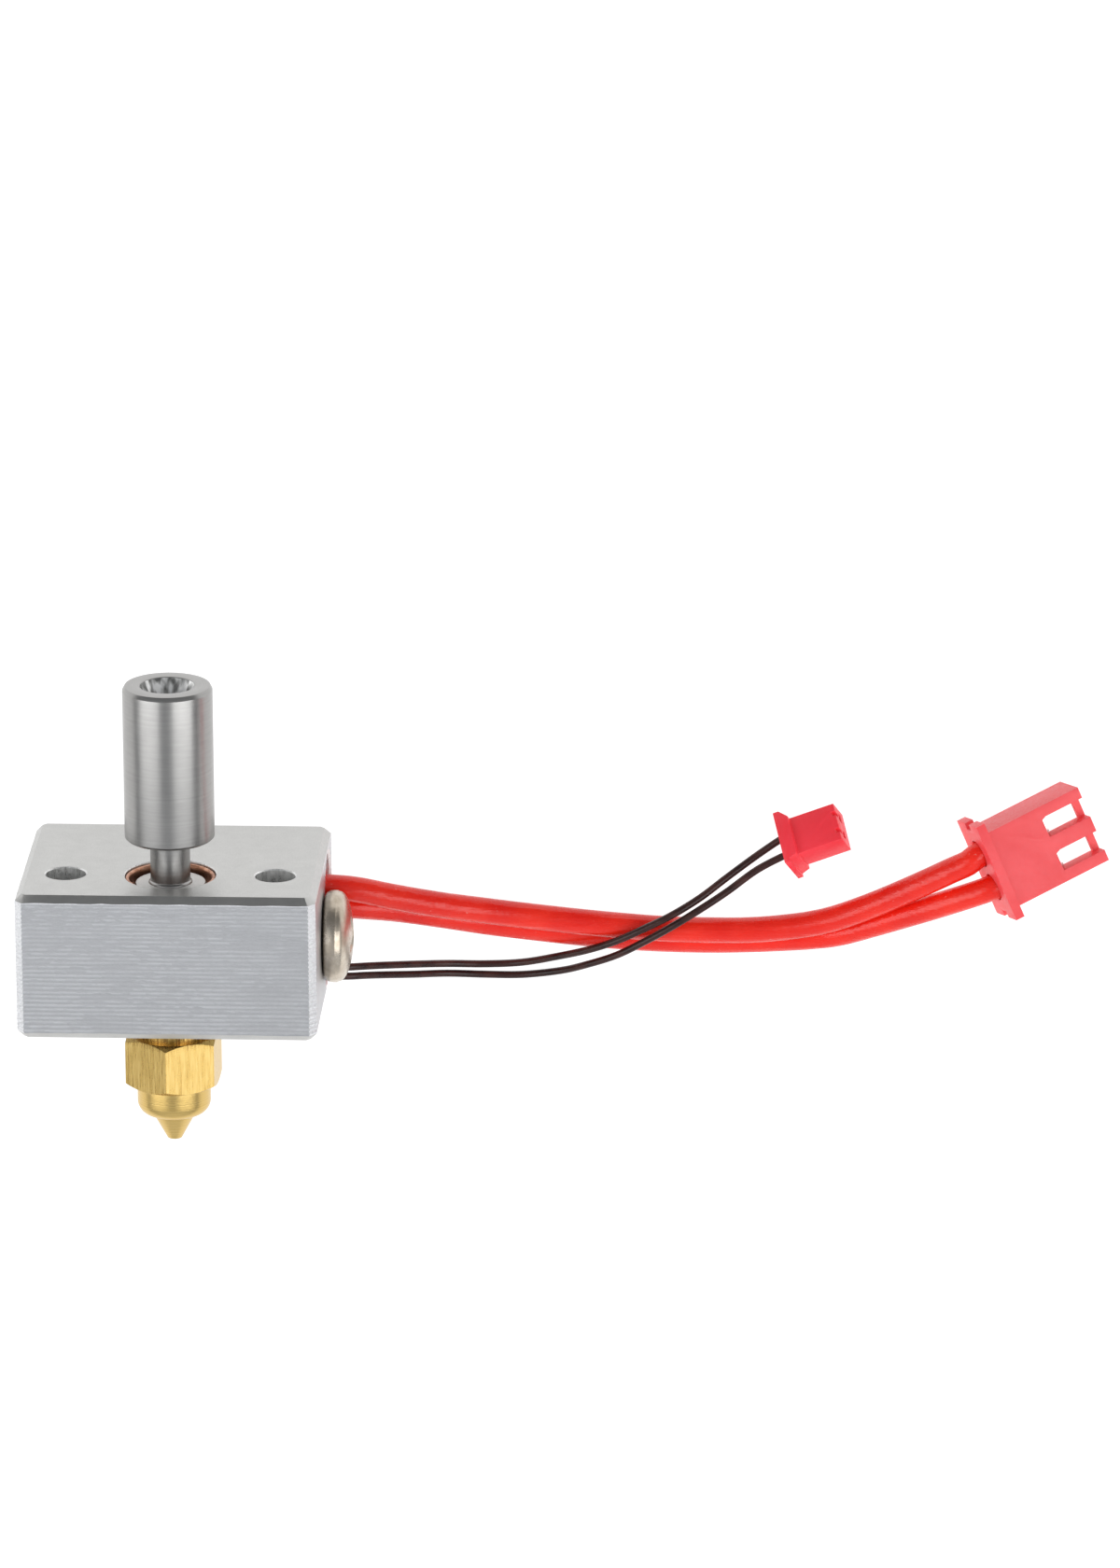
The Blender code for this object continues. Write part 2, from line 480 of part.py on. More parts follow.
def main():
    for old in list(bpy.data.objects):
        bpy.data.objects.remove(old, do_unlink=True)
    aluminium = material("milled_aluminium", (0.72, 0.73, 0.75), 0.38, 1.0)
    stainless = material("turned_stainless", (0.58, 0.57, 0.56), 0.25, 1.0)
    brass = material("brass", (0.80, 0.55, 0.16), 0.28, 1.0)
    copper = material("copper", (0.72, 0.38, 0.25), 0.35, 1.0)
    nickel = material("nickel_plate", (0.62, 0.58, 0.52), 0.2, 1.0)
    ceramic = material("white_ceramic", (0.85, 0.83, 0.78), 0.6, 0.0)
    heating_wire = material("heating_wire", (0.35, 0.33, 0.31), 0.4, 1.0)
    glass = material("amber_glass", (0.35, 0.12, 0.04), 0.1, 0.0)
    silicone = material("red_silicone", (0.75, 0.02, 0.015), 0.3, 0.0)
    enamel = material("brown_insulation", (0.07, 0.025, 0.02), 0.35, 0.0)
    coral = material("coral_plastic", (0.85, 0.09, 0.09), 0.45, 0.0)
    tin = material("tinned_contact", (0.7, 0.7, 0.68), 0.3, 1.0)

    heater_block(aluminium)
    throat(stainless)
    copper_ring(copper)
    nozzle(brass)
    clamp_screw(nickel)
    heater(stainless, ceramic, heating_wire)
    thermistor(stainless, ceramic, glass)
    power_plug(coral, tin)
    sensor_plug(coral, tin)
    power = (1.15, HEATER_LEAD_RADIUS, silicone, 2.0)
    lead("heater_lead_a", HEATER_LEAD_A, POWER_FRAME, POWER_PITCH, *power)
    lead("heater_lead_b", HEATER_LEAD_B, POWER_FRAME, -POWER_PITCH, *power)
    sensor = (0.8, SENSOR_LEAD_RADIUS, enamel, 1.2)
    lead("thermistor_lead_a", SENSOR_LEAD_A, SENSOR_FRAME, SENSOR_PITCH, *sensor)
    lead("thermistor_lead_b", SENSOR_LEAD_B, SENSOR_FRAME, -SENSOR_PITCH, *sensor)


main()
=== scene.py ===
"""Looks of the hot end: fine pieces, leads, materials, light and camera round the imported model.

Lengths are millimetres, which MM turns into metres, except on the stage. The axes are the model's own:
+X along the block towards the leads, +Y up the throat, +Z up from the surface it lies on.
"""

import json
from math import cos, pi, radians, sin

import bmesh
import bpy
from mathutils import Euler, Matrix, Vector, noise

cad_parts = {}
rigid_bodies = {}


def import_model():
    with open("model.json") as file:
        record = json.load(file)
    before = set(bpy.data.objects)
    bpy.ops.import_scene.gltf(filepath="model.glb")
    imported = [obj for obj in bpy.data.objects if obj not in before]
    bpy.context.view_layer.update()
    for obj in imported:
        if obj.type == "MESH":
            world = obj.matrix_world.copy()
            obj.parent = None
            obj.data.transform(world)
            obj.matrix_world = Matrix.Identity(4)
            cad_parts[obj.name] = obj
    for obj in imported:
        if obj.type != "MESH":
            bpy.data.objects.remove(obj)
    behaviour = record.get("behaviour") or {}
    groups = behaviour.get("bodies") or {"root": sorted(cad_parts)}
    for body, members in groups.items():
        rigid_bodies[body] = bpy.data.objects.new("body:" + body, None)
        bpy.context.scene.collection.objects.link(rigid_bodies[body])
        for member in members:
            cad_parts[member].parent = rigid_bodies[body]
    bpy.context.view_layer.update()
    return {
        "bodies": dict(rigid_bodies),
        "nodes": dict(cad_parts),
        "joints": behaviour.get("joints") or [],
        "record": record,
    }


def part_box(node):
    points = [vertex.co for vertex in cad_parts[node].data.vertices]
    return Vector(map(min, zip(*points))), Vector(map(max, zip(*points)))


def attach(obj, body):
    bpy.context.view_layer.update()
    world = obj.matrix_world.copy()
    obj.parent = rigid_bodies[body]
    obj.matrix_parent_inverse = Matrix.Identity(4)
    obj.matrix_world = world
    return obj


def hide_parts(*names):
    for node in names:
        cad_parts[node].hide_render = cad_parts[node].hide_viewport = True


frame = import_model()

MM = 0.001
FIXED = "block"

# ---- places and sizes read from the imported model, in millimetres ----
def extent(node):
    low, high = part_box(node)
    return low / MM, high / MM


def middle(node):
    low, high = extent(node)
    return (low + high) / 2


BLOCK_LOW, BLOCK_HIGH = extent("heater_block")
THROAT_LOW, THROAT_HIGH = extent("throat")
RING_LOW, RING_HIGH = extent("copper_ring")
NOZZLE_LOW, NOZZLE_HIGH = extent("nozzle")
SHEATH_LOW, SHEATH_HIGH = extent("heater_sheath")
CAPSULE_LOW, CAPSULE_HIGH = extent("thermistor_capsule")
SCREW_LOW, SCREW_HIGH = extent("clamp_screw")
RIGHT, TOP = BLOCK_HIGH.x, BLOCK_HIGH.y
THROAT_AT, HEATER_AT = middle("throat"), middle("heater_sheath")
SENSOR_AT, SCREW_AT = middle("thermistor_capsule"), middle("clamp_screw")

# ---- the rest of the design's sizes, in millimetres ----
CHAMFER, RIDGE, RIDGE_DEPTH = 0.45, 0.3, 0.014
MOUNT_HOLE_RADIUS, MOUNT_HOLE_X = 1.35, 7.0
SHOULDER, NECK_RADIUS, SPIGOT_TOP = 7.6, 1.33, 4.5
SPIGOT_RADIUS, SPIGOT_ROOT, SPIGOT_PITCH = 2.4, 2.05, 0.8
FILAMENT_RADIUS, FUNNEL_RADIUS, FUNNEL_DEPTH = 0.95, 1.85, 2.2
NOZZLE_RADIUS, NOZZLE_ROOT, NOZZLE_PITCH = 2.95, 2.5, 1.0
HEX_TOP, HEX_BOTTOM, HEX_FLATS, HEX_TURN = -6.1, -9.6, 6.0, -3.9
COLLAR_RADIUS, COLLAR_BOTTOM, CONE_RADIUS, CONE_TOP = 2.46, -10.85, 1.45, -11.8
TIP_RADIUS, ORIFICE_RADIUS, MELT_BOTTOM = 0.48, 0.2, -11.6
HEATER_BORE, SENSOR_BORE, RING_INNER = 3.05, 1.05, 2.74
THREAD_GAP, SEAT_GAP = 0.1, 0.05
SCREW_RADIUS, SCREW_ROOT, SCREW_PITCH, SCREW_RIM, RECESS_TURN = 1.25, 1.0, 0.45, 0.95, 20
HEATER_LEAD_RADIUS, SENSOR_LEAD_RADIUS = 0.875, 0.25

POWER_PLUG_AT = Vector((54.34, 3.8, 4.66))
POWER_PLUG_TURN = Euler((radians(-2.9), radians(21.9), radians(22.2)))
SENSOR_PLUG_AT = Vector((40.78, 4.64, 2.45))
SENSOR_PLUG_TURN = Euler((radians(-42.0), radians(-3.0), radians(21.3)))
POWER_PITCH, SENSOR_PITCH = 1.25, 0.625
POWER_RUN_IN, SENSOR_RUN_IN, LEAD_STEP = 1.15, 0.8, 0.4

HEATER_LEAD_A = [
    (7.9, 2.05, 4.5), (10.0, 2.05, 4.5), (12.0, 1.85, 4.4), (14.5, 1.22, 4.0), (17.6, 0.5, 3.4),
    (20.5, -0.05, 2.85), (23.0, -0.45, 2.55), (26.6, -0.9, 2.35), (29.7, -1.2, 2.3), (32.7, -1.4, 2.3),
    (35.8, -1.45, 2.3), (38.2, -1.4, 2.35), (40.4, -1.2, 2.4), (42.6, -0.8, 2.6), (44.5, -0.2, 2.85),
    (47.1, 1.0, 3.35), (50.0, 2.62, 4.15), (52.0, 3.76, 4.58), (53.1, 4.35, 4.74),
]
HEATER_LEAD_B = [
    (7.9, 0.4, 3.35), (10.0, 0.4, 3.35), (12.0, 0.25, 3.1), (14.5, -0.15, 2.45), (17.5, -0.8, 1.7),
    (20.4, -1.42, 1.15), (23.0, -1.8, 0.95), (26.6, -2.2, 0.92), (29.6, -2.45, 0.92), (32.7, -2.6, 0.92),
    (35.7, -2.63, 0.92), (38.1, -2.57, 0.92), (40.3, -2.46, 0.92), (42.6, -2.26, 1.0), (44.5, -1.9, 1.25),
    (47.1, -0.85, 2.1), (50.1, 0.54, 3.4), (52.0, 1.4, 4.08), (53.4, 2.05, 4.56),
]
SENSOR_LEAD_A = [
    (-0.2, -3.15, 6.0), (8.0, -3.15, 6.0), (10.0, -3.15, 6.0), (11.4, -3.2, 5.75), (13.0, -3.48, 4.6),
    (15.6, -4.03, 2.6), (17.9, -4.5, 1.0), (20.4, -4.7, 0.4), (22.9, -4.5, 0.55), (25.3, -3.7, 1.6),
    (27.5, -2.8, 2.75), (29.4, -1.9, 3.5), (31.3, -0.9, 3.8), (33.2, 0.1, 3.8), (35.1, 1.2, 3.3),
    (36.9, 2.45, 2.6), (38.9, 3.85, 2.05),
]
SENSOR_LEAD_B = [
    (-0.2, -3.75, 6.0), (8.0, -3.75, 6.0), (10.0, -3.75, 6.0), (11.4, -3.85, 5.75), (13.0, -4.15, 4.6),
    (15.6, -4.75, 2.6), (17.9, -5.2, 1.0), (20.4, -5.45, 0.4), (22.9, -5.45, 0.35), (25.5, -4.95, 0.9),
    (27.4, -4.1, 2.0), (29.4, -3.1, 2.95), (31.3, -1.9, 3.6), (33.2, -0.7, 3.85), (35.1, 0.5, 3.7),
    (36.9, 1.65, 3.3), (38.9, 3.1, 2.95),
]

# ---- stage, in metres, and camera, in millimetres ----
FLOOR_SIZE, FLOOR_DROP, FLOOR_GLOW = 4.0, 0.0001, 1.0
CAMERA_LENS = 221.8
CAMERA_AT = Vector((55.73, 209.29, 619.8))
CAMERA_TURN = Euler((radians(-17.978), radians(2.718), radians(-0.233)))

# ---- frames: a turned piece's own Z runs along one of these axes ----
ALONG_Y = Matrix(((1, 0, 0), (0, 0, 1), (0, -1, 0))).to_4x4()
ALONG_X = Matrix(((0, 0, 1), (0, 1, 0), (-1, 0, 0))).to_4x4()


def axis_at(turn, x, y, z):
    return Matrix.Translation(Vector((x, y, z)) * MM) @ turn


def plug_frame(place, turn):
    return Matrix.Translation(place * MM) @ turn.to_matrix().to_4x4()


THROAT_AXIS = axis_at(ALONG_Y, 0, 0, THROAT_AT.z)
HEATER_AXIS = axis_at(ALONG_X, 0, HEATER_AT.y, HEATER_AT.z)
SENSOR_AXIS = axis_at(ALONG_X, 0, SENSOR_AT.y, SENSOR_AT.z)
SCREW_AXIS = axis_at(ALONG_X, 0, SCREW_AT.y, SCREW_AT.z)
POWER_FRAME = plug_frame(POWER_PLUG_AT, POWER_PLUG_TURN)
SENSOR_FRAME = plug_frame(SENSOR_PLUG_AT, SENSOR_PLUG_TURN)


# ---- materials ----
class Finish:
    """A Principled material and the nodes that feed it. Its coordinates are object millimetres."""

    def __init__(self, name, colour, roughness, metallic=0.0):
        self.material = bpy.data.materials.new(name)
        self.material.use_nodes = True
        self.nodes = self.material.node_tree.nodes
        self.links = self.material.node_tree.links
        self.shader = self.nodes["Principled BSDF"]
        self.set("Base Color", (*colour, 1.0))
        self.set("Roughness", roughness)
        self.set("Metallic", metallic)
        self.where = None
        self.normal = None

    def set(self, socket, value):
        self.shader.inputs[socket].default_value = value

    def feed(self, output, socket):
        self.links.new(output, self.shader.inputs[socket])

    def math(self, operation, first, second=None):
        made = self.nodes.new("ShaderNodeMath")
        made.operation = operation
        for socket, value in zip(made.inputs, (first, second)):
            if isinstance(value, (int, float)):
                socket.default_value = value
            elif value is not None:
                self.links.new(value, socket)
        return made.outputs[0]

    def place(self, stretch=(1, 1, 1)):
        """Object coordinates in millimetres, each axis times its stretch."""
        if self.where is None:
            self.where = self.nodes.new("ShaderNodeTexCoord").outputs["Object"]
        mapping = self.nodes.new("ShaderNodeMapping")
        mapping.inputs["Scale"].default_value = [value / MM for value in stretch]
        self.links.new(self.where, mapping.inputs["Vector"])
        return mapping.outputs[0]

    def noise(self, scale, stretch=(1, 1, 1), detail=3.0, roughness=0.5, distortion=0.0):
        made = self.nodes.new("ShaderNodeTexNoise")
        made.inputs["Scale"].default_value = scale
        made.inputs["Detail"].default_value = detail
        made.inputs["Roughness"].default_value = roughness
        made.inputs["Distortion"].default_value = distortion
        self.links.new(self.place(stretch), made.inputs["Vector"])
        return made.outputs["Fac"]

    def lines(self, along, scale, detail=2.0):
        """One-dimensional noise of a coordinate, for tool marks."""
        made = self.nodes.new("ShaderNodeTexNoise")
        made.noise_dimensions = "1D"
        made.inputs["Scale"].default_value = scale
        made.inputs["Detail"].default_value = detail
        self.links.new(along, made.inputs["W"])
        return made.outputs["Fac"]

    def wave(self, along, pitch):
        """A sine of a coordinate, from 0 to 1, that repeats at the pitch."""
        sine = self.math("SINE", self.math("MULTIPLY", along, 2 * pi / pitch))
        return self.math("ADD", self.math("MULTIPLY", sine, 0.5), 0.5)

    def axes(self):
        split = self.nodes.new("ShaderNodeSeparateXYZ")
        self.links.new(self.place(), split.inputs[0])
        return split.outputs

    def turning(self):
        """A coordinate that grows along the piece's axis and away from it, for turned marks."""
        x, y, z = self.axes()
        radius = self.math("SQRT", self.math("ADD", self.math("MULTIPLY", x, x), self.math("MULTIPLY", y, y)))
        return self.math("ADD", self.math("MULTIPLY", radius, 1.31), z)

    def between(self, factor, low, high, start=0.0, end=1.0):
        """Map a factor from start..end onto low..high."""
        made = self.nodes.new("ShaderNodeMapRange")
        self.links.new(factor, made.inputs["Value"])
        for socket, value in zip(("From Min", "From Max", "To Min", "To Max"), (start, end, low, high)):
            made.inputs[socket].default_value = value
        return made.outputs["Result"]

    def colours(self, factor, stops):
        made = self.nodes.new("ShaderNodeValToRGB")
        ramp = made.color_ramp
        while len(ramp.elements) < len(stops):
            ramp.elements.new(0.5)
        for element, (position, colour) in zip(ramp.elements, stops):
            element.position = position
            element.color = (*colour, 1.0)
        self.links.new(factor, made.inputs["Fac"])
        return made.outputs["Color"]

    def bump(self, height, depth):
        """Add a bump of this depth in millimetres on top of the ones before it."""
        made = self.nodes.new("ShaderNodeBump")
        made.inputs["Distance"].default_value = depth * MM
        self.links.new(height, made.inputs["Height"])
        if self.normal is not None:
            self.links.new(self.normal, made.inputs["Normal"])
        self.normal = made.outputs["Normal"]
        self.feed(self.normal, "Normal")


def shades(colour, spread):
    """A darker and a lighter form of a colour."""
    return [tuple(min(1.0, c * k) for c in colour) for k in (1 - spread, 1 + spread)]


def milled_aluminium():
    """Side walls: even lines of the cutter that ran round the block, dashed in some patches."""
    colour = (0.54, 0.546, 0.562)
    made = Finish("milled_aluminium", colour, 0.4, 1.0)
    dark, light = shades(colour, 0.12)
    _, y, _ = made.axes()
    line = made.wave(y, RIDGE)
    dash = made.between(made.noise(1.15, (1, 2.9, 1), 2.0, 0.5), 0.0, 1.0, 0.44, 0.56)
    patches = made.between(made.noise(0.3, (0.6, 2.2, 0.6), 4.0, 0.6), 0.15, 1.0, 0.36, 0.62)
    dashes = made.between(made.noise(0.22, (1, 1.5, 1), 3.0), 0.1, 1.0, 0.4, 0.58)
    height = made.math("MULTIPLY", line, patches)
    height = made.math("ADD", height, made.math("MULTIPLY", made.math("MULTIPLY", line, dash), dashes))
    grain = made.noise(7.0, (0.6, 2.5, 0.6), 3.0, 0.6)
    tint = made.math("ADD", made.math("MULTIPLY", height, 0.4), made.math("MULTIPLY", grain, 0.6))
    made.feed(made.colours(tint, [(0.2, dark), (0.75, light)]), "Base Color")
    made.feed(made.between(grain, 0.34, 0.46, 0.3, 0.7), "Roughness")
    made.bump(height, 0.012)
    made.bump(grain, 0.012)
    return made.material


def rough_edge():
    """Broken edges of the block: torn and rougher than its faces, and painted lighter than the faces'
    aluminium: a painted highlight on the edges.
    """
    # Painted highlight: the edges' aluminium is lighter than the walls' own.
    colour = (0.80, 0.805, 0.82)
    made = Finish("rough_edge", colour, 0.56, 1.0)
    dark, light = shades(colour, 0.14)
    _, y, _ = made.axes()
    grain = made.noise(5.0, (1, 1.6, 1), 4.0, 0.65)
    made.feed(made.colours(grain, [(0.3, dark), (0.65, light)]), "Base Color")
    made.feed(made.between(grain, 0.5, 0.34, 0.3, 0.7), "Roughness")
    made.bump(made.wave(y, RIDGE), 0.03)
    made.bump(grain, 0.02)
    return made.material


def ground_aluminium():
    """Top and bottom faces: sawn and ground smooth, with a soft cloudy grain."""
    colour = (0.50, 0.498, 0.486)
    made = Finish("ground_aluminium", colour, 0.34, 1.0)
    dark, light = shades(colour, 0.05)
    cloud = made.noise(0.8, (1, 1, 1), 5.0, 0.65)
    made.feed(made.colours(cloud, [(0.3, dark), (0.7, light)]), "Base Color")
    made.feed(made.between(made.noise(4.0, (3, 1, 0.6), 3.0), 0.3, 0.42, 0.3, 0.7), "Roughness")
    made.bump(made.noise(5.0, (2.5, 1, 0.8), 4.0, 0.6), 0.004)
    made.bump(made.noise(1.3, (0.6, 1, 9), 2.0, 0.5), 0.002)
    return made.material


def bored_aluminium():
    """Inside the holes: light and dark streaks stretched along the throat's axis, on aluminium painted
    lighter and less metallic than the block's walls: painted light inside the holes.
    """
    # Painted light: the holes' aluminium is lighter and less metallic than the walls', so the holes read lit
    # inside.
    colour = (0.78, 0.78, 0.77)
    made = Finish("bored_aluminium", colour, 0.32, 0.75)
    dark, light = shades(colour, 0.2)
    streaks = made.noise(2.2, (1.6, 0.35, 1.6), 4.0, 0.7)
    made.feed(made.colours(streaks, [(0.3, dark), (0.7, light)]), "Base Color")
    made.feed(made.between(streaks, 0.22, 0.45, 0.3, 0.7), "Roughness")
    made.bump(streaks, 0.05)
    return made.material


def turned_metal(name, colour, roughness, spread=0.05, depth=0.004, scale=14.0, metallic=1.0):
    """A lathe-turned surface: fine rings round the axis and faint uneven polish."""
    made = Finish(name, colour, roughness, metallic)
    dark, light = shades(colour, spread)
    along = made.turning()
    rings = made.lines(along, scale, 3.0)
    polish = made.noise(0.9, (1, 1, 0.5), 4.0, 0.6)
    scratches = made.noise(0.8, (1, 1, 6.0), 2.0, 0.5)
    tint = made.math("ADD", made.math("MULTIPLY", rings, 0.5), made.math("MULTIPLY", scratches, 0.5))
    made.feed(made.colours(tint, [(0.36, dark), (0.64, light)]), "Base Color")
    made.feed(made.between(polish, roughness * 0.92, roughness * 1.12, 0.3, 0.7), "Roughness")
    made.bump(rings, depth)
    return made.material


def brushed_brass():
    """Brass: the hexagon's flats carry the grain of the drawn bar, the round parts turned rings. The brass is
    painted darker towards the hexagon's top and above it: painted shade under the block.
    """
    colour = (0.66, 0.455, 0.15)
    made = Finish("brass", colour, 0.28, 1.0)
    along = made.axes()[2]
    grain = made.noise(7.5, (1, 1, 0.09), 3.0, 0.5)
    rings = made.math("ADD", made.lines(along, 16.0, 3.0), 0.05)
    hexagon = made.between(along, 0.0, 1.0, HEX_BOTTOM - 0.1, HEX_BOTTOM)
    # Painted shade: the brass darkens from just below the hexagon's top upwards, where it sits under the
    # block.
    painted_shade_under_block = made.between(along, 0.0, 0.22, HEX_TOP - 0.5, HEX_TOP + 0.1)
    bar = made.math("MULTIPLY", made.math("SUBTRACT", grain, painted_shade_under_block), hexagon)
    tool = made.math("MULTIPLY", rings, made.math("SUBTRACT", 1.0, hexagon))
    tint = made.math("ADD", bar, tool)
    made.feed(made.colours(tint, [(0.08, (0.20, 0.09, 0.03)), (0.32, (0.60, 0.40, 0.125)), (0.5, colour),
                                  (0.7, (0.73, 0.53, 0.20))]), "Base Color")
    made.feed(made.between(tint, 0.24, 0.34, 0.3, 0.7), "Roughness")
    made.bump(tint, 0.005)
    return made.material


def funnel_painted_reflections():
    """The throat's funnel: light and dark streaks painted down the cone, a painted reflection of its
    surroundings; the same streaks are bumped a little.
    """
    made = Finish("funnel_steel_painted_reflections", (0.5, 0.5, 0.49), 0.3, 0.65)
    painted_reflection_streaks = made.noise(2.1, (1.0, 1.0, 0.1), 2.0, 0.4)
    # Painted reflection: bright and dark streaks down the cone stand for the surroundings mirrored in the
    # funnel.
    made.feed(made.colours(painted_reflection_streaks, [(0.4, (0.2, 0.2, 0.195)), (0.5, (0.6, 0.6, 0.59)),
                                    (0.58, (1.0, 1.0, 0.99))]), "Base Color")
    made.bump(painted_reflection_streaks, 0.03)
    return made.material


def copper():
    """Soft copper, darkened by heat in places."""
    made = Finish("copper", (0.60, 0.30, 0.19), 0.34, 1.0)
    heat = made.noise(1.2, (1, 1, 1), 5.0, 0.7)
    made.feed(made.colours(heat, [(0.3, (0.22, 0.085, 0.05)), (0.5, (0.48, 0.24, 0.15)),
                                  (0.75, (0.70, 0.43, 0.31))]), "Base Color")
    made.feed(made.between(heat, 0.45, 0.26, 0.3, 0.7), "Roughness")
    made.bump(made.lines(made.turning(), 16.0), 0.004)
    return made.material


def nickel_plate():
    """Dull warm plating with a pitted, slightly stained skin."""
    colour = (0.57, 0.50, 0.415)
    made = Finish("nickel_plate", colour, 0.27, 1.0)
    stain = made.noise(1.1, (1, 1, 1), 5.0, 0.65)
    made.feed(made.colours(stain, [(0.25, (0.40, 0.34, 0.26)), (0.55, colour), (0.8, (0.68, 0.62, 0.52))]),
              "Base Color")
    made.feed(made.between(stain, 0.4, 0.22, 0.25, 0.7), "Roughness")
    made.bump(made.noise(5.0, (1, 1, 1), 5.0, 0.7), 0.012)
    return made.material


def red_silicone():
    """Glossy silicone sleeve: drawn lines along it, a few specks of dust."""
    made = Finish("red_silicone", (0.83, 0.018, 0.010), 0.3)
    made.set("Subsurface Weight", 0.12)
    made.set("Subsurface Radius", (1.0, 0.25, 0.15))
    made.set("Subsurface Scale", 0.4 * MM)
    made.set("Specular IOR Level", 0.45)
    tone = made.noise(0.35, (1, 1, 1), 3.0)
    specks = made.noise(3.4, (1, 1, 1), 2.0, 0.4)
    red = made.colours(tone, [(0.3, (0.80, 0.012, 0.005)), (0.7, (0.92, 0.028, 0.012))])
    mix = made.nodes.new("ShaderNodeMix")
    mix.data_type = "RGBA"
    made.links.new(made.between(specks, 0.0, 0.55, 0.735, 0.78), mix.inputs["Factor"])
    made.links.new(red, mix.inputs["A"])
    mix.inputs["B"].default_value = (0.95, 0.35, 0.30, 1.0)
    made.feed(mix.outputs["Result"], "Base Color")
    made.feed(made.between(made.noise(1.8, (0.5, 2, 2), 3.0), 0.16, 0.34, 0.3, 0.7), "Roughness")
    made.bump(made.noise(1.0, (0.12, 2.6, 2.6), 3.0, 0.55), 0.05)
    made.bump(specks, 0.012)
    return made.material


def brown_insulation():
    """Thin lacquered wire: dark brown under a clear gloss."""
    made = Finish("brown_insulation", (0.035, 0.011, 0.009), 0.3)
    made.set("Coat Weight", 0.08)
    made.set("Specular IOR Level", 0.3)
    made.set("Coat Roughness", 0.12)
    tone = made.noise(1.5, (0.4, 1, 1), 3.0)
    made.feed(made.colours(tone, [(0.3, (0.018, 0.006, 0.006)), (0.7, (0.055, 0.018, 0.014))]), "Base Color")
    made.feed(made.between(tone, 0.24, 0.42, 0.3, 0.7), "Roughness")
    made.bump(made.noise(4.0, (0.5, 2, 2), 2.0), 0.012)
    return made.material


def moulded_plastic(name, dark, light):
    """Moulded nylon: cloudy colour, the mould's fine texture, light glowing a little through it."""
    made = Finish(name, light, 0.42)
    made.set("Subsurface Weight", 0.25)
    made.set("Subsurface Radius", (1.0, 0.22, 0.18))
    made.set("Subsurface Scale", 0.6 * MM)
    cloud = made.noise(0.28, (1, 1, 1), 4.0, 0.55)
    made.feed(made.colours(cloud, [(0.3, dark), (0.7, light)]), "Base Color")
    made.feed(made.between(made.noise(6.0, (1, 1, 1), 2.0), 0.36, 0.52, 0.3, 0.7), "Roughness")
    made.bump(made.noise(14.0, (1, 1, 1), 3.0, 0.6), 0.006)
    made.bump(made.noise(0.7, (1, 1, 1), 2.0), 0.03)
    return made.material


def tinned_contact():
    """Stamped tin-plated bronze with rolling lines."""
    made = Finish("tinned_contact", (0.72, 0.72, 0.70), 0.26, 1.0)
    lines = made.noise(2.5, (0.3, 8, 8), 3.0)
    made.feed(made.colours(lines, [(0.3, (0.58, 0.57, 0.54)), (0.7, (0.82, 0.82, 0.80))]), "Base Color")
    made.feed(made.between(lines, 0.2, 0.36, 0.3, 0.7), "Roughness")
    made.bump(lines, 0.004)
    return made.material


def white_ceramic():
    """Fired ceramic: chalky, with fine pores."""
    made = Finish("white_ceramic", (0.84, 0.82, 0.77), 0.6)
    pores = made.noise(4.5, (1, 1, 1), 5.0, 0.7)
    made.feed(made.colours(pores, [(0.3, (0.66, 0.63, 0.57)), (0.55, (0.87, 0.85, 0.80))]), "Base Color")
    made.feed(made.between(pores, 0.75, 0.5, 0.3, 0.7), "Roughness")
    made.bump(pores, 0.03)
    return made.material


def heating_wire():
    """Resistance wire, greyed by oxide."""
    made = Finish("heating_wire", (0.36, 0.33, 0.31), 0.42, 1.0)
    oxide = made.noise(3.0, (1, 1, 1), 4.0, 0.7)
    made.feed(made.colours(oxide, [(0.3, (0.16, 0.13, 0.13)), (0.7, (0.46, 0.42, 0.38))]), "Base Color")
    made.feed(made.between(oxide, 0.6, 0.35, 0.3, 0.7), "Roughness")
    made.bump(oxide, 0.01)
    return made.material


def amber_glass():
    """Glass bead over the sensing chip, clear amber with a few bubbles."""
    made = Finish("amber_glass", (0.55, 0.20, 0.05), 0.08)
    made.set("Transmission Weight", 0.75)
    made.set("IOR", 1.5)
    bubbles = made.noise(5.0, (1, 1, 1), 3.0)
    made.feed(made.colours(bubbles, [(0.35, (0.38, 0.12, 0.03)), (0.7, (0.68, 0.28, 0.08))]), "Base Color")
    made.feed(made.between(bubbles, 0.05, 0.14, 0.3, 0.7), "Roughness")
    made.bump(bubbles, 0.01)
    return made.material


def pale_floor():
    """Plain matt sheet, bright enough to read as white."""
    made = Finish("pale_floor", (0.18, 0.18, 0.18), 0.9)
    made.set("Specular IOR Level", 0.0)
    made.set("Emission Color", (1.0, 1.0, 1.0, 1.0))
    made.set("Emission Strength", FLOOR_GLOW)
    return made.material


# ---- shapes ----
def thing(name, mesh, finish, matrix=None, angle=32):
    """Make the named object, place it and round its shading."""
    made = bpy.data.objects.new(name, mesh)
    bpy.context.scene.collection.objects.link(made)
    if matrix is not None:
        made.matrix_world = matrix
    if finish is not None:
        mesh.materials.append(finish)
    mesh.shade_smooth()
    mesh.set_sharp_from_angle(angle=radians(angle))
    return made


def mesh_from(build, name):
    bm = bmesh.new()
    build(bm)
    bmesh.ops.recalc_face_normals(bm, faces=bm.faces)
    mesh = bpy.data.meshes.new(name)
    bm.to_mesh(mesh)
    bm.free()
    return mesh


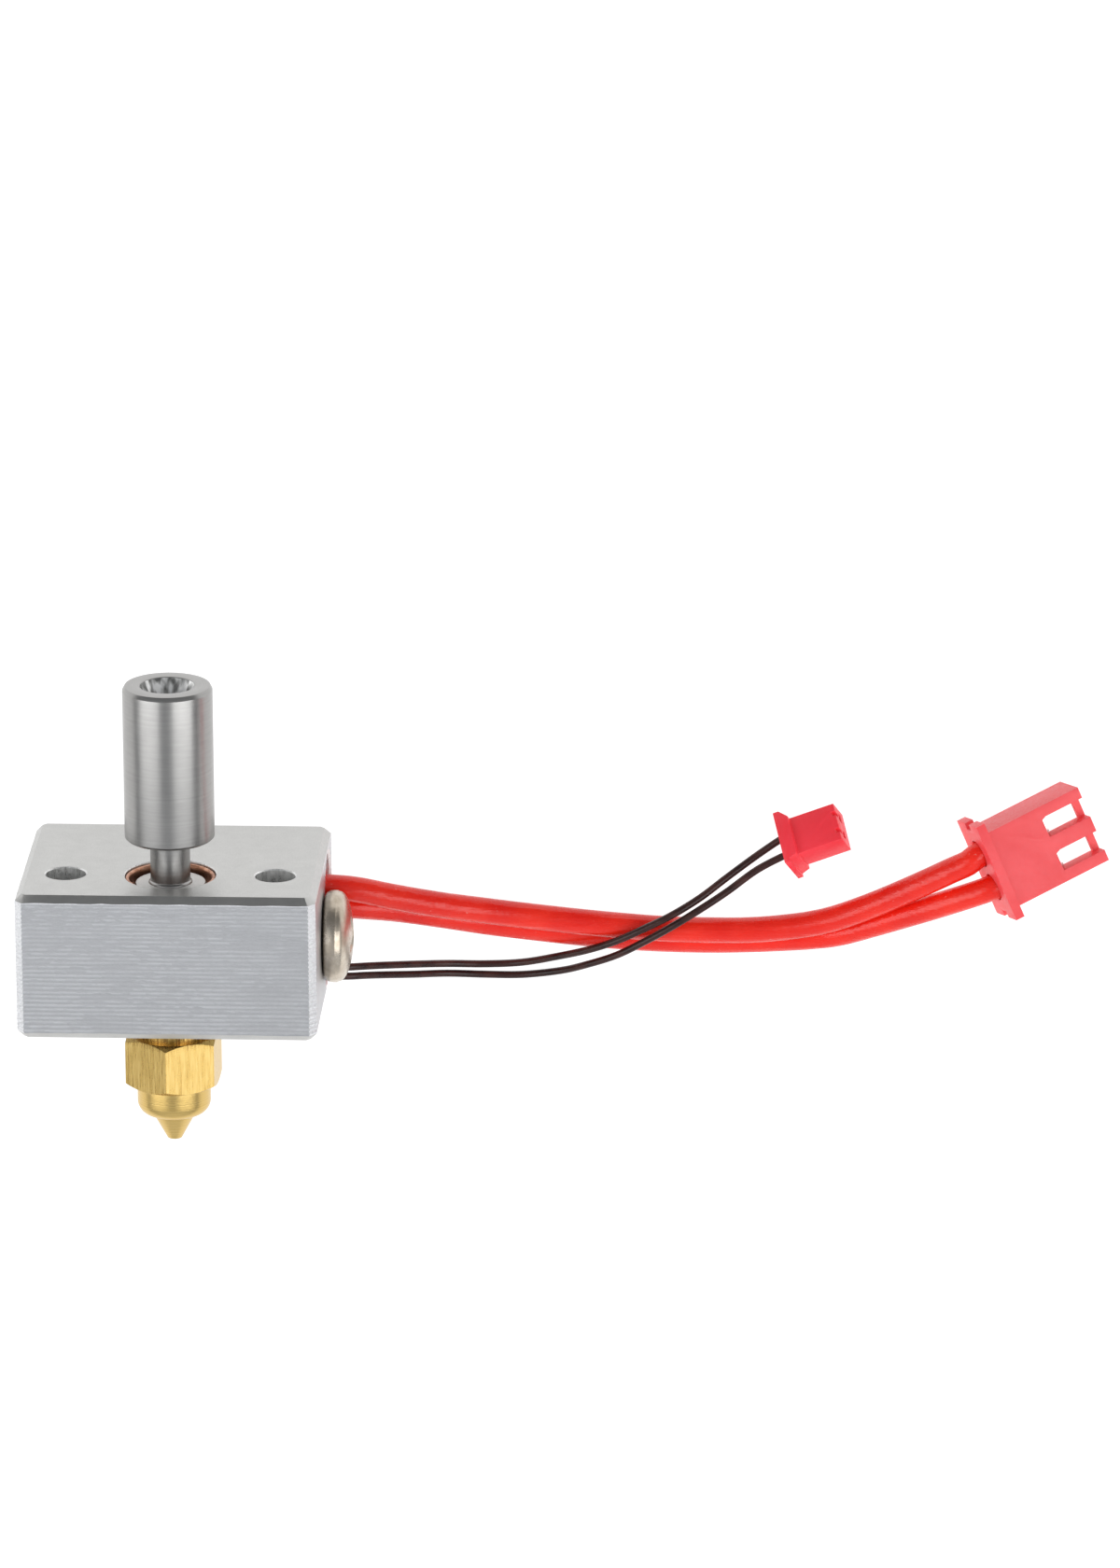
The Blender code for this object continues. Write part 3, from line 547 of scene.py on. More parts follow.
def filleted(outline, steps=4):
    """Round the corners of an outline of (radius, along, fillet); two numbers mean a sharp corner."""
    points = []
    for k, corner in enumerate(outline):
        here = Vector(corner[:2])
        fillet = corner[2] if len(corner) > 2 else 0
        if not fillet:
            points.append(tuple(here))
            continue
        before, after = Vector(outline[k - 1][:2]), Vector(outline[(k + 1) % len(outline)][:2])
        start = here + (before - here).normalized() * fillet
        end = here + (after - here).normalized() * fillet
        for step in range(steps + 1):
            t = step / steps
            points.append(tuple(start * (1 - t) ** 2 + here * 2 * t * (1 - t) + end * t ** 2))
    return points


def steps_between(low, high, step):
    count = max(1, round((high - low) / step))
    return [low + (high - low) * k / count for k in range(count + 1)]


def helix_radius(low, high, pitch, crest, root):
    """Radius of a right-hand thread at a height and angle, fading out at both ends."""
    run_out = 0.6 * pitch

    def radius(along, angle):
        wave = (0.5 + 0.5 * cos(2 * pi * along / pitch - angle)) ** 0.75
        fade = max(0.0, min(1.0, (along - low) / run_out, (high - along) / run_out))
        return root + (crest - root) * wave * fade

    return radius


def lathe(name, outline, finish, frame, sides=96, turn=0.0, thread=None):
    """Turn an outline of (radius, along) round the frame's Z; a radius of None takes the thread's."""
    closed = outline[0][0] != 0

    def build(bm):
        rings = []
        for radius, along in outline:
            if radius == 0:
                rings.append([bm.verts.new((0, 0, along * MM))])
                continue
            ring = []
            for k in range(sides):
                angle = turn + 2 * pi * k / sides
                here = thread(along, angle) if radius is None else radius
                ring.append(bm.verts.new((here * cos(angle) * MM, here * sin(angle) * MM, along * MM)))
            rings.append(ring)
        pairs = list(zip(rings, rings[1:])) + ([(rings[-1], rings[0])] if closed else [])
        for low, high in pairs:
            for k in range(sides):
                corners = [low[k % len(low)], low[(k + 1) % sides % len(low)],
                           high[(k + 1) % sides % len(high)], high[k % len(high)]]
                bm.faces.new(list(dict.fromkeys(corners)))

    return thing(name, mesh_from(build, name), finish, frame)


def prism(name, outline, low, high, finish, frame=None, foot=1.0):
    """Extrude an outline of (x, y) from low to high; its foot is scaled about the outline's middle."""
    centre = sum((Vector((*p, 0)) for p in outline), Vector()) / len(outline)

    def build(bm):
        rings = []
        for along, scale in ((low, foot), (high, 1.0)):
            spots = [centre + (Vector((*p, 0)) - centre) * scale for p in outline]
            rings.append([bm.verts.new((p.x * MM, p.y * MM, along * MM)) for p in spots])
        bm.faces.new(rings[0])
        bm.faces.new(rings[1])
        for k in range(len(outline)):
            after = (k + 1) % len(outline)
            bm.faces.new((rings[0][k], rings[0][after], rings[1][after], rings[1][k]))

    return thing(name, mesh_from(build, name), finish, frame)


def rod(name, radius, low, high, finish, frame, y=0.0, sides=48):
    shifted = frame @ Matrix.Translation(Vector((0, y, 0)) * MM)
    return lathe(name, [(0, low), (radius, low), (radius, high), (0, high)], finish, shifted, sides)


def cuboid(name, low, high, finish, frame=None):
    (x0, y0, z0), (x1, y1, z1) = low, high
    return prism(name, [(x0, y0), (x1, y0), (x1, y1), (x0, y1)], z0, z1, finish, frame)


def settle(made, angle=32):
    """Apply the object's modifiers to its mesh and round its shading again."""
    bpy.context.view_layer.update()
    graph = bpy.context.evaluated_depsgraph_get()
    mesh = bpy.data.meshes.new_from_object(made.evaluated_get(graph))
    made.modifiers.clear()
    made.data = mesh
    mesh.shade_smooth()
    mesh.set_sharp_from_angle(angle=radians(angle))


def carve(target, tool, operation="DIFFERENCE"):
    """Cut, join or trim the target with a tool shape, which is then thrown away."""
    change = target.modifiers.new("carve", "BOOLEAN")
    change.operation = operation
    change.solver = "EXACT"
    change.material_mode = "TRANSFER"
    change.object = tool
    settle(target)
    bpy.data.objects.remove(tool, do_unlink=True)


def soften(made, width, angle=30, segments=2):
    """Round the edges that turn by more than the angle."""
    edges = made.modifiers.new("soften", "BEVEL")
    edges.width = width * MM
    edges.segments = segments
    edges.limit_method = "ANGLE"
    edges.angle_limit = radians(angle)
    settle(made, 40)


def flattened(made):
    """Move a tilted piece's place from its frame into its mesh, so that its box is a tight one."""
    bpy.context.view_layer.update()
    made.data.transform(made.matrix_world)
    made.matrix_world = Matrix.Identity(4)
    return made


def fixed(made, *nodes, slot=None, body=FIXED):
    """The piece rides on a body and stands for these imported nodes."""
    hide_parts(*nodes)
    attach(made, body)
    return made


# ---- the pieces ----
def ridged_block(finishes):
    """The block before its holes are cut: scalloped side walls between two smooth chamfered ends."""
    walls, ends, edges = finishes
    half_x, low_z, high_z = RIGHT, BLOCK_LOW.z, BLOCK_HIGH.z
    columns = 0.8
    counts = [1, round((high_z - low_z) / columns), 1, round(2 * half_x / columns)] * 2

    def painted_reflection_streaks(inset, corner):
        """Points round the block's outline in X and Z; corner is the chamfer's size."""
        left, right = -half_x + inset, half_x - inset
        back, front = low_z + inset, high_z - inset
        corners = [(right - corner, back), (right, back + corner), (right, front - corner),
                   (right - corner, front), (left + corner, front), (left, front - corner),
                   (left, back + corner), (left + corner, back)]
        points = []
        for start, end, count in zip(corners, corners[1:] + corners[:1], counts):
            for step in range(count):
                t = step / count
                points.append((start[0] + (end[0] - start[0]) * t, start[1] + (end[1] - start[1]) * t))
        return points

    def build(bm):
        rows = [(-TOP, CHAMFER, CHAMFER * 0.6, 0.0)]
        first, last = -TOP + CHAMFER, TOP - CHAMFER
        ridges = round((last - first) / RIDGE)
        for k in range(ridges * 4 + 1):
            y = first + (last - first) * k / (ridges * 4)
            scallop = (1.0, 0.35, 0.0, 0.35)[k % 4]
            rows.append((y, RIDGE_DEPTH * scallop, CHAMFER + RIDGE_DEPTH * 3.0 * scallop, 1.0))
        rows.append((TOP, CHAMFER, CHAMFER * 0.6, 0.0))
        rings = []
        for y, inset, corner, live in rows:
            ring = []
            for x, z in painted_reflection_streaks(inset, corner):
                wander = 0.0
                if live and min(y - first, last - y) < 0.01:
                    wander = 0.05 * noise.noise(Vector((x * 1.7, y, z * 1.7)))
                ring.append(bm.verts.new((x * MM, (y + wander) * MM, z * MM)))
            rings.append(ring)
        size = sum(counts)
        chamfered = [side % 2 == 0 for side, count in enumerate(counts) for _ in range(count)]
        for row, (low, high) in enumerate(zip(rings, rings[1:])):
            for k in range(size):
                after = (k + 1) % size
                face = bm.faces.new((low[k], low[after], high[after], high[k]))
                if row in (0, len(rings) - 2):
                    face.material_index = 1
                # The corner chamfers and a thin strip along the top chamfer's lower edge take the lighter
                # edge material; on the strip it is a painted highlight line along the burr.
                elif chamfered[k] or row == len(rings) - 3:
                    face.material_index = 2
        for ring in (rings[0], rings[-1]):
            face = bm.faces.new(ring)
            face.material_index = 1

    made = thing("block_body", mesh_from(build, "block_body"), walls, angle=20)
    made.data.materials.append(ends)
    made.data.materials.append(edges)
    return made


def bore_cutter(radius, low, high, mouth, frame, finish, x=0.0):
    """A hole from low to high whose edges are broken by a small chamfer at low and high."""
    past = 1.0
    wide = radius + mouth
    shifted = frame @ Matrix.Translation(Vector((x, 0, 0)) * MM)
    outline = [(0, low - past), (wide + past, low - past), (wide, low), (radius, low + mouth),
               (radius, high - mouth), (wide, high), (wide + past, high + past), (0, high + past)]
    return lathe("bore", outline, finish, shifted, 96)


def heater_block(milled, ground, edge, bored):
    body = ridged_block((milled, ground, edge))
    spigot_bore, nozzle_bore = SPIGOT_RADIUS + THREAD_GAP, NOZZLE_RADIUS + THREAD_GAP
    ring_bore, seat = RING_HIGH.x + SEAT_GAP, RING_LOW.y - SEAT_GAP
    carve(body, lathe("throat_bore", [
        (0, -TOP - 1), (nozzle_bore + 1, -TOP - 1), (nozzle_bore + 0.12, -TOP), (nozzle_bore, -TOP + 0.12),
        (nozzle_bore, 0), (spigot_bore, 0), (spigot_bore, seat), (ring_bore, seat),
        (ring_bore, TOP - 0.06), (ring_bore + 0.06, TOP), (ring_bore + 1, TOP + 1), (0, TOP + 1)],
        bored, THROAT_AXIS, 128))
    for side in (-1, 1):
        carve(body, bore_cutter(MOUNT_HOLE_RADIUS, -TOP, TOP, 0.08, THROAT_AXIS, bored,
                                side * MOUNT_HOLE_X))
    carve(body, bore_cutter(HEATER_BORE, -RIGHT, RIGHT, 0.15, HEATER_AXIS, bored))
    past = 1.0
    for axis, radius, end, mouth in ((SENSOR_AXIS, SENSOR_BORE, CAPSULE_LOW.x - 0.4, 0.1),
                                     (SCREW_AXIS, SCREW_RADIUS + SEAT_GAP, SCREW_LOW.x - 0.4, 0.1)):
        carve(body, lathe("blind_bore", [
            (0, end - 0.3), (radius, end), (radius, RIGHT - mouth), (radius + mouth, RIGHT),
            (radius + mouth + past, RIGHT + past), (0, RIGHT + past)], bored, axis, 64))
    return fixed(body, "heater_block", slot="milled_aluminium")


def throat(finish, face, funnel):
    top, end, radius = THROAT_HIGH.y, THROAT_LOW.y, THROAT_HIGH.x
    start, stop = end + 0.2, SPIGOT_TOP - 0.25
    outline = filleted([(FILAMENT_RADIUS, end), (SPIGOT_ROOT - 0.12, end, 0.05), (SPIGOT_ROOT, start)])
    outline += [(None, along) for along in steps_between(start, stop, SPIGOT_PITCH / 12)]
    outline += filleted([
        (SPIGOT_ROOT, stop), (SPIGOT_RADIUS - 0.05, stop + 0.05, 0.03),
        (SPIGOT_RADIUS - 0.05, SPIGOT_TOP, 0.08),
        (NECK_RADIUS + 0.14, SPIGOT_TOP, 0.02), (NECK_RADIUS + 0.10, SPIGOT_TOP + 0.12, 0.03),
        (NECK_RADIUS, SPIGOT_TOP + 0.2, 0.04), (NECK_RADIUS, SHOULDER, 0.08),
        (radius - 0.16, SHOULDER, 0.03), (radius, SHOULDER + 0.16, 0.04), (radius, top - 0.3, 0.04),
        (radius - 0.16, top, 0.05), (FUNNEL_RADIUS, top, 0.06), (FILAMENT_RADIUS, top - FUNNEL_DEPTH, 0.1)])
    outline.append((FILAMENT_RADIUS, top - FUNNEL_DEPTH - 2.0))
    made = lathe("throat_tube", outline, finish, THROAT_AXIS, 128,
                 thread=helix_radius(start, stop, SPIGOT_PITCH, SPIGOT_RADIUS - 0.02, SPIGOT_ROOT))
    made.data.materials.append(face)
    made.data.materials.append(funnel)
    for polygon in made.data.polygons:
        place = polygon.center / MM
        # The spigot's top face takes the lighter face material, which is painted light.
        if abs(place.z - SPIGOT_TOP) < 0.02 and polygon.normal.z > 0.9:
            polygon.material_index = 1
        elif place.z > top - FUNNEL_DEPTH and place.xy.length < FUNNEL_RADIUS - 0.05:
            polygon.material_index = 2
    return fixed(made, "throat", slot="turned_stainless", body="throat")


def seal_ring(finish):
    low, high, outer = RING_LOW.y, RING_HIGH.y, RING_HIGH.x
    outline = filleted([
        (RING_INNER, low), (outer, low, 0.05), (outer, high - 0.03, 0.06), (outer - 0.1, high, 0.06),
        (RING_INNER + 0.06, high - 0.03, 0.05), (RING_INNER, high - 0.15, 0.05)])
    return fixed(lathe("seal_ring", outline, finish, THROAT_AXIS, 128), "copper_ring", slot="copper")


def nozzle_piece(finish):
    """The hexagon is trimmed by a turned shape for its chamfers, then joined to shank and tip."""
    corner = HEX_FLATS / 2 / cos(pi / 6)
    bite = corner - HEX_FLATS / 2 + 0.02
    top, tip_end = NOZZLE_HIGH.y, NOZZLE_LOW.y
    made = lathe("brass_nozzle", [(0, HEX_BOTTOM), (corner, HEX_BOTTOM), (corner, HEX_TOP), (0, HEX_TOP)],
                 finish, THROAT_AXIS, 6, turn=radians(HEX_TURN - 90))
    carve(made, lathe("hex_chamfer", [
        (0, HEX_BOTTOM), (corner - bite, HEX_BOTTOM), (corner + 0.05, HEX_BOTTOM + bite * 0.75),
        (corner + 0.05, HEX_TOP - bite * 0.75), (corner - bite, HEX_TOP), (0, HEX_TOP)],
        finish, THROAT_AXIS, 192), "INTERSECT")
    start, stop = -TOP - 0.1, top - 0.35
    shank = [(0, HEX_TOP - 1), (NOZZLE_ROOT, HEX_TOP - 1), (NOZZLE_ROOT, start)]
    shank += [(None, along) for along in steps_between(start, stop, NOZZLE_PITCH / 14)]
    shank += filleted([(NOZZLE_ROOT, stop), (NOZZLE_ROOT - 0.15, top, 0.06), (0, top)])
    carve(made, lathe("shank", shank, finish, THROAT_AXIS, 96, thread=helix_radius(
        start, stop, NOZZLE_PITCH, NOZZLE_RADIUS, NOZZLE_ROOT)), "UNION")
    bulge, groove = COLLAR_BOTTOM - CONE_TOP, COLLAR_RADIUS - 0.06
    tip = [(0, HEX_BOTTOM + 1), (groove, HEX_BOTTOM + 1), (groove, HEX_BOTTOM - 0.12)]
    tip += [(COLLAR_RADIUS, HEX_BOTTOM - 0.2), (COLLAR_RADIUS, COLLAR_BOTTOM)]
    for k in range(1, 13):
        angle = radians(6.7 * k)
        tip.append((COLLAR_RADIUS - bulge * (1 - cos(angle)), COLLAR_BOTTOM - bulge * sin(angle)))
    tip += filleted([(CONE_RADIUS, CONE_TOP), (TIP_RADIUS, tip_end, 0.06), (0, tip_end)])
    carve(made, lathe("tip", tip, finish, THROAT_AXIS, 96), "UNION")
    carve(made, lathe("melt_channel", [
        (0, tip_end - 1), (ORIFICE_RADIUS, tip_end - 1), (ORIFICE_RADIUS, tip_end + 0.5),
        (FILAMENT_RADIUS, MELT_BOTTOM), (FILAMENT_RADIUS, top - 0.1), (FILAMENT_RADIUS + 1, top + 0.9),
        (0, top + 0.9)], finish, THROAT_AXIS, 64))
    return fixed(made, "nozzle", slot="brass", body="nozzle")


def clamp_screw(finish):
    """Threaded shank, domed head with a flat rim, cross recess in the dome."""
    end, face, head = SCREW_LOW.x, SCREW_HIGH.x, SCREW_HIGH.y - SCREW_AT.y
    under = RIGHT + SEAT_GAP
    start, stop = end + 0.15, RIGHT - 0.25
    outline = filleted([(0, end), (SCREW_ROOT - 0.2, end, 0.05), (SCREW_ROOT, start)])
    outline += [(None, along) for along in steps_between(start, stop, SCREW_PITCH / 10)]
    rim = under + SCREW_RIM
    outline += filleted([
        (SCREW_ROOT, stop), (SCREW_ROOT, under, 0.04), (head, under, 0.6), (head, rim - 0.08)])
    dome = face - rim
    for k in range(13):
        angle = radians(7.5 * k)
        edge = 0.06 * cos(angle) ** 8
        outline.append(((head - edge) * cos(angle) if k < 12 else 0, rim + dome * sin(angle)))
    made = lathe("cross_screw", outline, finish, SCREW_AXIS, 72,
                 thread=helix_radius(start, stop, SCREW_PITCH, SCREW_RADIUS, SCREW_ROOT))
    arm, wide, deep = 1.9, 0.36, 1.35
    inner = wide + 0.12
    cross = []
    for k in range(4):
        turn = Matrix.Rotation(k * pi / 2, 2)
        cross += [tuple(turn @ Vector(p)) for p in ((inner, -inner), (arm - 0.1, -wide), (arm, -wide * 0.7),
                                                    (arm, wide * 0.7), (arm - 0.1, wide))]
    aim = SCREW_AXIS @ Matrix.Rotation(radians(RECESS_TURN), 4, "Z")
    carve(made, prism("recess", cross, face - deep, face + 0.5, finish, aim, foot=0.45))
    soften(made, 0.035, 35)
    return fixed(made, "clamp_screw", slot="nickel_plate", body="clamp_screw")


def heater(steel, ceramic, wire):
    """Closed steel sheath, the cement plug round the leads at its open end, and the coil inside."""
    wall = 0.35
    radius = (SHEATH_HIGH.y - SHEATH_LOW.y) / 2
    left, right = SHEATH_LOW.x, SHEATH_HIGH.x
    inner = radius - wall
    sheath = lathe("heater_cartridge", filleted([
        (0, left), (radius, left, 0.25), (radius, right, 0.1), (inner, right, 0.1), (inner, left + 0.6, 0.1),
        (0, left + 0.6)]), steel, HEATER_AXIS, 96)
    fixed(sheath, "heater_sheath", slot="turned_stainless")
    seal_low, seal_high = extent("heater_end_seal")
    rim = inner - 0.08
    seal = lathe("heater_cement", filleted([
        (0, seal_low.x), (rim, seal_low.x, 0.05), (rim, seal_high.x, 0.12),
        (rim * 0.7, seal_high.x - 0.16, 0.3), (0, seal_high.x - 0.2)]), ceramic, HEATER_AXIS, 64)
    for route in (HEATER_LEAD_A, HEATER_LEAD_B):
        _, y, z = route[0]
        carve(seal, rod("lead_hole", HEATER_LEAD_RADIUS + 0.05, seal_low.x - 1, seal_high.x + 1, ceramic,
                        axis_at(ALONG_X, 0, y, z)))
    fixed(seal, "heater_end_seal", slot="white_ceramic")
    coil_low, coil_high = extent("heater_coil")
    coil_radius, wire_radius, pitch, fine = 2.2, 0.12, 1.25, 32
    start = coil_low.x + wire_radius
    turns = round((coil_high.x - coil_low.x - 2 * wire_radius) / pitch)
    spots = [Vector((start + pitch * k / fine,
                     HEATER_AT.y + coil_radius * cos(2 * pi * k / fine),
                     HEATER_AT.z + coil_radius * sin(2 * pi * k / fine))) for k in range(turns * fine + 1)]
    fixed(cable("heating_coil", spots, wire_radius, wire, 3), "heater_coil", slot="heating_wire")


def thermistor(steel, ceramic):
    """Blind steel capsule and the bead of cement that closes it round the two wires."""
    radius = (CAPSULE_HIGH.y - CAPSULE_LOW.y) / 2
    left, right, inner = CAPSULE_LOW.x, CAPSULE_HIGH.x, radius - 0.2
    capsule = lathe("sensor_capsule", filleted([
        (0, left), (radius, left, 0.3), (radius, right, 0.05), (inner, right, 0.05), (inner, left + 0.3, 0.1),
        (0, left + 0.3)]), steel, SENSOR_AXIS, 64)
    fixed(capsule, "thermistor_capsule", slot="turned_stainless")
    seal_low, seal_high = extent("thermistor_seal")
    seal = lathe("sensor_cement", filleted([
        (0, seal_low.x), (inner - 0.05, seal_low.x, 0.04), (inner - 0.05, seal_high.x, 0.08),
        (0, seal_high.x - 0.04)]), ceramic, SENSOR_AXIS, 48)
    for route in (SENSOR_LEAD_A, SENSOR_LEAD_B):
        _, y, z = route[0]
        carve(seal, rod("wire_hole", SENSOR_LEAD_RADIUS + 0.022, seal_low.x - 1, seal_high.x + 1, ceramic,
                        axis_at(ALONG_X, 0, y, z), sides=32))
    fixed(seal, "thermistor_seal", slot="white_ceramic")


def power_plug(plastic):
    """Two-way housing: its own X runs from the wires to the mating end. Each contact's chamber is open
    at the front from window to nose, above a bridge at the nose; the nose is open at the back."""
    half, thick, nose = 2.73, 1.79, 7.6
    flange, flange_thick, flange_end = 3.48, 2.04, 0.62
    rib, rib_depth, past = 0.42, 0.45, 1.0
    way, way_start, way_thick = 0.71, 1.2, 0.8
    window, bridge, bridge_top, bridge_low = 4.46, 7.1, 0.72, 0.36
    back, back_way, back_half = 4.3, 1.0, 2.5
    made = cuboid("power_housing", (0.0, -half, -thick), (nose, half, thick), plastic, POWER_FRAME)
    carve(made, cuboid("flange", (0.0, -flange, -flange_thick), (flange_end, flange, flange_thick), plastic,
                       POWER_FRAME), "UNION")
    for side in (-1, 1):
        notch = sorted((side * flange - rib_depth, side * flange + rib_depth))
        carve(made, cuboid("flange_notch", (-past, notch[0], -rib), (flange_end + past, notch[1], rib),
                           plastic, POWER_FRAME))
    carve(made, cuboid("back_opening", (back, -back_half, -thick - past),
                       (nose + past, back_half, -way_thick), plastic, POWER_FRAME))
    along = POWER_FRAME @ ALONG_X
    for side in (-POWER_PITCH, POWER_PITCH):
        carve(made, rod("wire_way", HEATER_LEAD_RADIUS + 0.1, -past, way_start + 0.4, plastic, along, y=side))
        carve(made, cuboid("contact_way", (way_start, side - way, -way_thick),
                           (bridge, side + way, way_thick), plastic, POWER_FRAME))
        slot = [(window, side - way), (nose + past, side - way), (nose + past, side + way),
                (window + 0.3, side + way), (window, side + way - 0.15)]
        carve(made, prism("front_slot", slot, bridge_top, thick + past, plastic, POWER_FRAME))
        carve(made, cuboid("back_way", (back, side - back_way, -way_thick - 0.2),
                           (nose + past, side + back_way, bridge_low), plastic, POWER_FRAME))
    soften(made, 0.09, 35, 3)
    return fixed(flattened(made), "power_plug", slot="coral_plastic")


def sensor_plug(plastic):
    """Small two-way housing with a wide lip at the wire end and a slit over each contact at the nose."""
    half, thick, nose = 1.35, 1.1, 4.1
    lip, lip_thick, lip_end, lip_foot = 1.9, 1.55, 0.4, 0.95
    way, way_start, way_end, way_thick = 0.4, 0.8, 3.6, 0.45
    slit, slit_length, slit_floor, pin, past = 0.14, 0.3, 0.5, 0.27, 1.0
    made = cuboid("sensor_housing", (0.0, -half, -thick), (nose, half, thick), plastic, SENSOR_FRAME)
    carve(made, prism("lip", [
        (0.0, -lip), (lip_end, -lip), (lip_end, -lip + 0.25), (lip_foot, -half - 0.1),
        (lip_foot, half), (lip_end, lip), (0.0, lip)], -lip_thick, lip_thick, plastic, SENSOR_FRAME), "UNION")
    along = SENSOR_FRAME @ ALONG_X
    for side in (-SENSOR_PITCH, SENSOR_PITCH):
        carve(made, rod("wire_way", SENSOR_LEAD_RADIUS + 0.06, -past, way_start + 0.2, plastic, along, y=side,
                        sides=32))
        carve(made, cuboid("contact_way", (way_start, side - way, -way_thick),
                           (way_end, side + way, way_thick), plastic, SENSOR_FRAME))
        carve(made, cuboid("pin_way", (way_end - 0.2, side - pin, -pin), (nose + past, side + pin, pin),
                           plastic, SENSOR_FRAME))
        carve(made, cuboid("nose_slit", (nose - slit_length, side - slit, slit_floor),
                           (nose + past, side + slit, thick + past), plastic, SENSOR_FRAME))
    soften(made, 0.045, 35)
    return fixed(flattened(made), "sensor_plug", slot="coral_plastic")


# ---- leads ----
def smooth_path(points, step):
    """Points about a step apart on a Catmull-Rom curve through the route's own points."""
    spots = [Vector(p) for p in points]
    spots = [2 * spots[0] - spots[1]] + spots + [2 * spots[-1] - spots[-2]]
    path = []
    for a, b, c, d in zip(spots, spots[1:], spots[2:], spots[3:]):
        count = max(1, round((c - b).length / step))
        for k in range(count):
            t = k / count
            path.append(0.5 * (2 * b + (c - a) * t + (2 * a - 5 * b + 4 * c - d) * t ** 2
                               + (3 * b - a - 3 * c + d) * t ** 3))
    return path + [spots[-2]]


def cable(name, spots, radius, finish, resolution=6):
    """A round cable along the spots, as one open spline with closed ends."""
    curve = bpy.data.curves.new(name, "CURVE")
    curve.dimensions = "3D"
    curve.bevel_depth = radius * MM
    curve.bevel_resolution = resolution
    curve.use_fill_caps = True
    spline = curve.splines.new("POLY")
    spline.points.add(len(spots) - 1)
    for point, spot in zip(spline.points, spots):
        point.co = (*(spot * MM), 1.0)
    spline.use_smooth = True
    curve.materials.append(finish)
    made = bpy.data.objects.new(name, curve)
    bpy.context.scene.collection.objects.link(made)
    return made


def lead(name, node, slot, route, plug, side, run_in, radius, finish):
    """A lead from its seal to the contact in its plug."""
    inside = [plug @ (Vector((u, side, 0)) * MM) / MM for u in (0.0, run_in)]
    spots = smooth_path(list(route) + inside, LEAD_STEP)
    made = fixed(cable(name, spots, radius, finish), node, slot=slot)


# ---- stage ----
def softbox(name, azimuth, lift, distance, size, power):
    """A soft light aimed at the object, in metres; azimuth 0 is the nozzle's side and 90 the leads'."""
    aim = Vector((0.025, 0.0, 0.005))
    a, e = radians(azimuth), radians(lift)
    back = Vector((sin(a) * cos(e), -cos(a) * cos(e), sin(e)))
    light = bpy.data.lights.new(name, "AREA")
    light.shape = "RECTANGLE"
    light.size, light.size_y = size
    light.energy = power
    lamp = bpy.data.objects.new(name, light)
    bpy.context.scene.collection.objects.link(lamp)
    lamp.location = aim + back * distance
    lamp.rotation_euler = back.to_track_quat("Z", "Y").to_euler()
    lamp.visible_camera = False


def studio():
    """Soft room light: dim at the horizon and past the throat, brighter on the nozzle's side."""
    world = bpy.data.worlds.new("studio")
    world.use_nodes = True
    nodes, links = world.node_tree.nodes, world.node_tree.links
    split = nodes.new("ShaderNodeSeparateXYZ")
    links.new(nodes.new("ShaderNodeTexCoord").outputs["Generated"], split.inputs[0])

    def ramp(axis, start, end, low, high):
        made = nodes.new("ShaderNodeMapRange")
        links.new(split.outputs[axis], made.inputs["Value"])
        for socket, value in zip(("From Min", "From Max", "To Min", "To Max"), (start, end, low, high)):
            made.inputs[socket].default_value = value
        return made.outputs["Result"]

    def join(operation, first, second):
        made = nodes.new("ShaderNodeMath")
        made.operation = operation
        links.new(first, made.inputs[0])
        links.new(second, made.inputs[1])
        return made.outputs[0]

    height = ramp("Z", 0.0, 0.5, 0.14, 0.42)
    shade = ramp("Y", 0.0, 1.0, 1.0, 0.5)
    front = ramp("Y", -1.0, -0.2, 0.55, 0.0)
    background = nodes["Background"]
    background.inputs["Color"].default_value = (0.94, 0.965, 1.0, 1.0)
    links.new(join("ADD", join("MULTIPLY", height, shade), front), background.inputs["Strength"])
    return world


def stage():
    """The floor just under the part, a light on each side, and the room."""
    size = FLOOR_SIZE / 2
    corners = [(-size, -size, 0), (size, -size, 0), (size, size, 0), (-size, size, 0)]
    mesh = bpy.data.meshes.new("floor")
    mesh.from_pydata(corners, [], [(0, 1, 2, 3)])
    floor = thing("floor", mesh, pale_floor())
    floor.location.z = -FLOOR_DROP
    softbox("left_softbox", -90, 45, 1.2, (0.78, 1.2), 6.9)
    softbox("right_softbox", 90, 48, 1.2, (0.8, 1.2), 7.8)
    bpy.context.scene.world = studio()
    bpy.context.scene.view_settings.view_transform = "Standard"


def camera():
    data = bpy.data.cameras.new("camera")
    data.lens = CAMERA_LENS
    data.sensor_width = 36.0
    data.clip_start, data.clip_end = 0.05, 20.0
    made = bpy.data.objects.new("camera", data)
    bpy.context.scene.collection.objects.link(made)
    made.location = CAMERA_AT * MM
    made.rotation_euler = CAMERA_TURN
    bpy.context.scene.camera = made


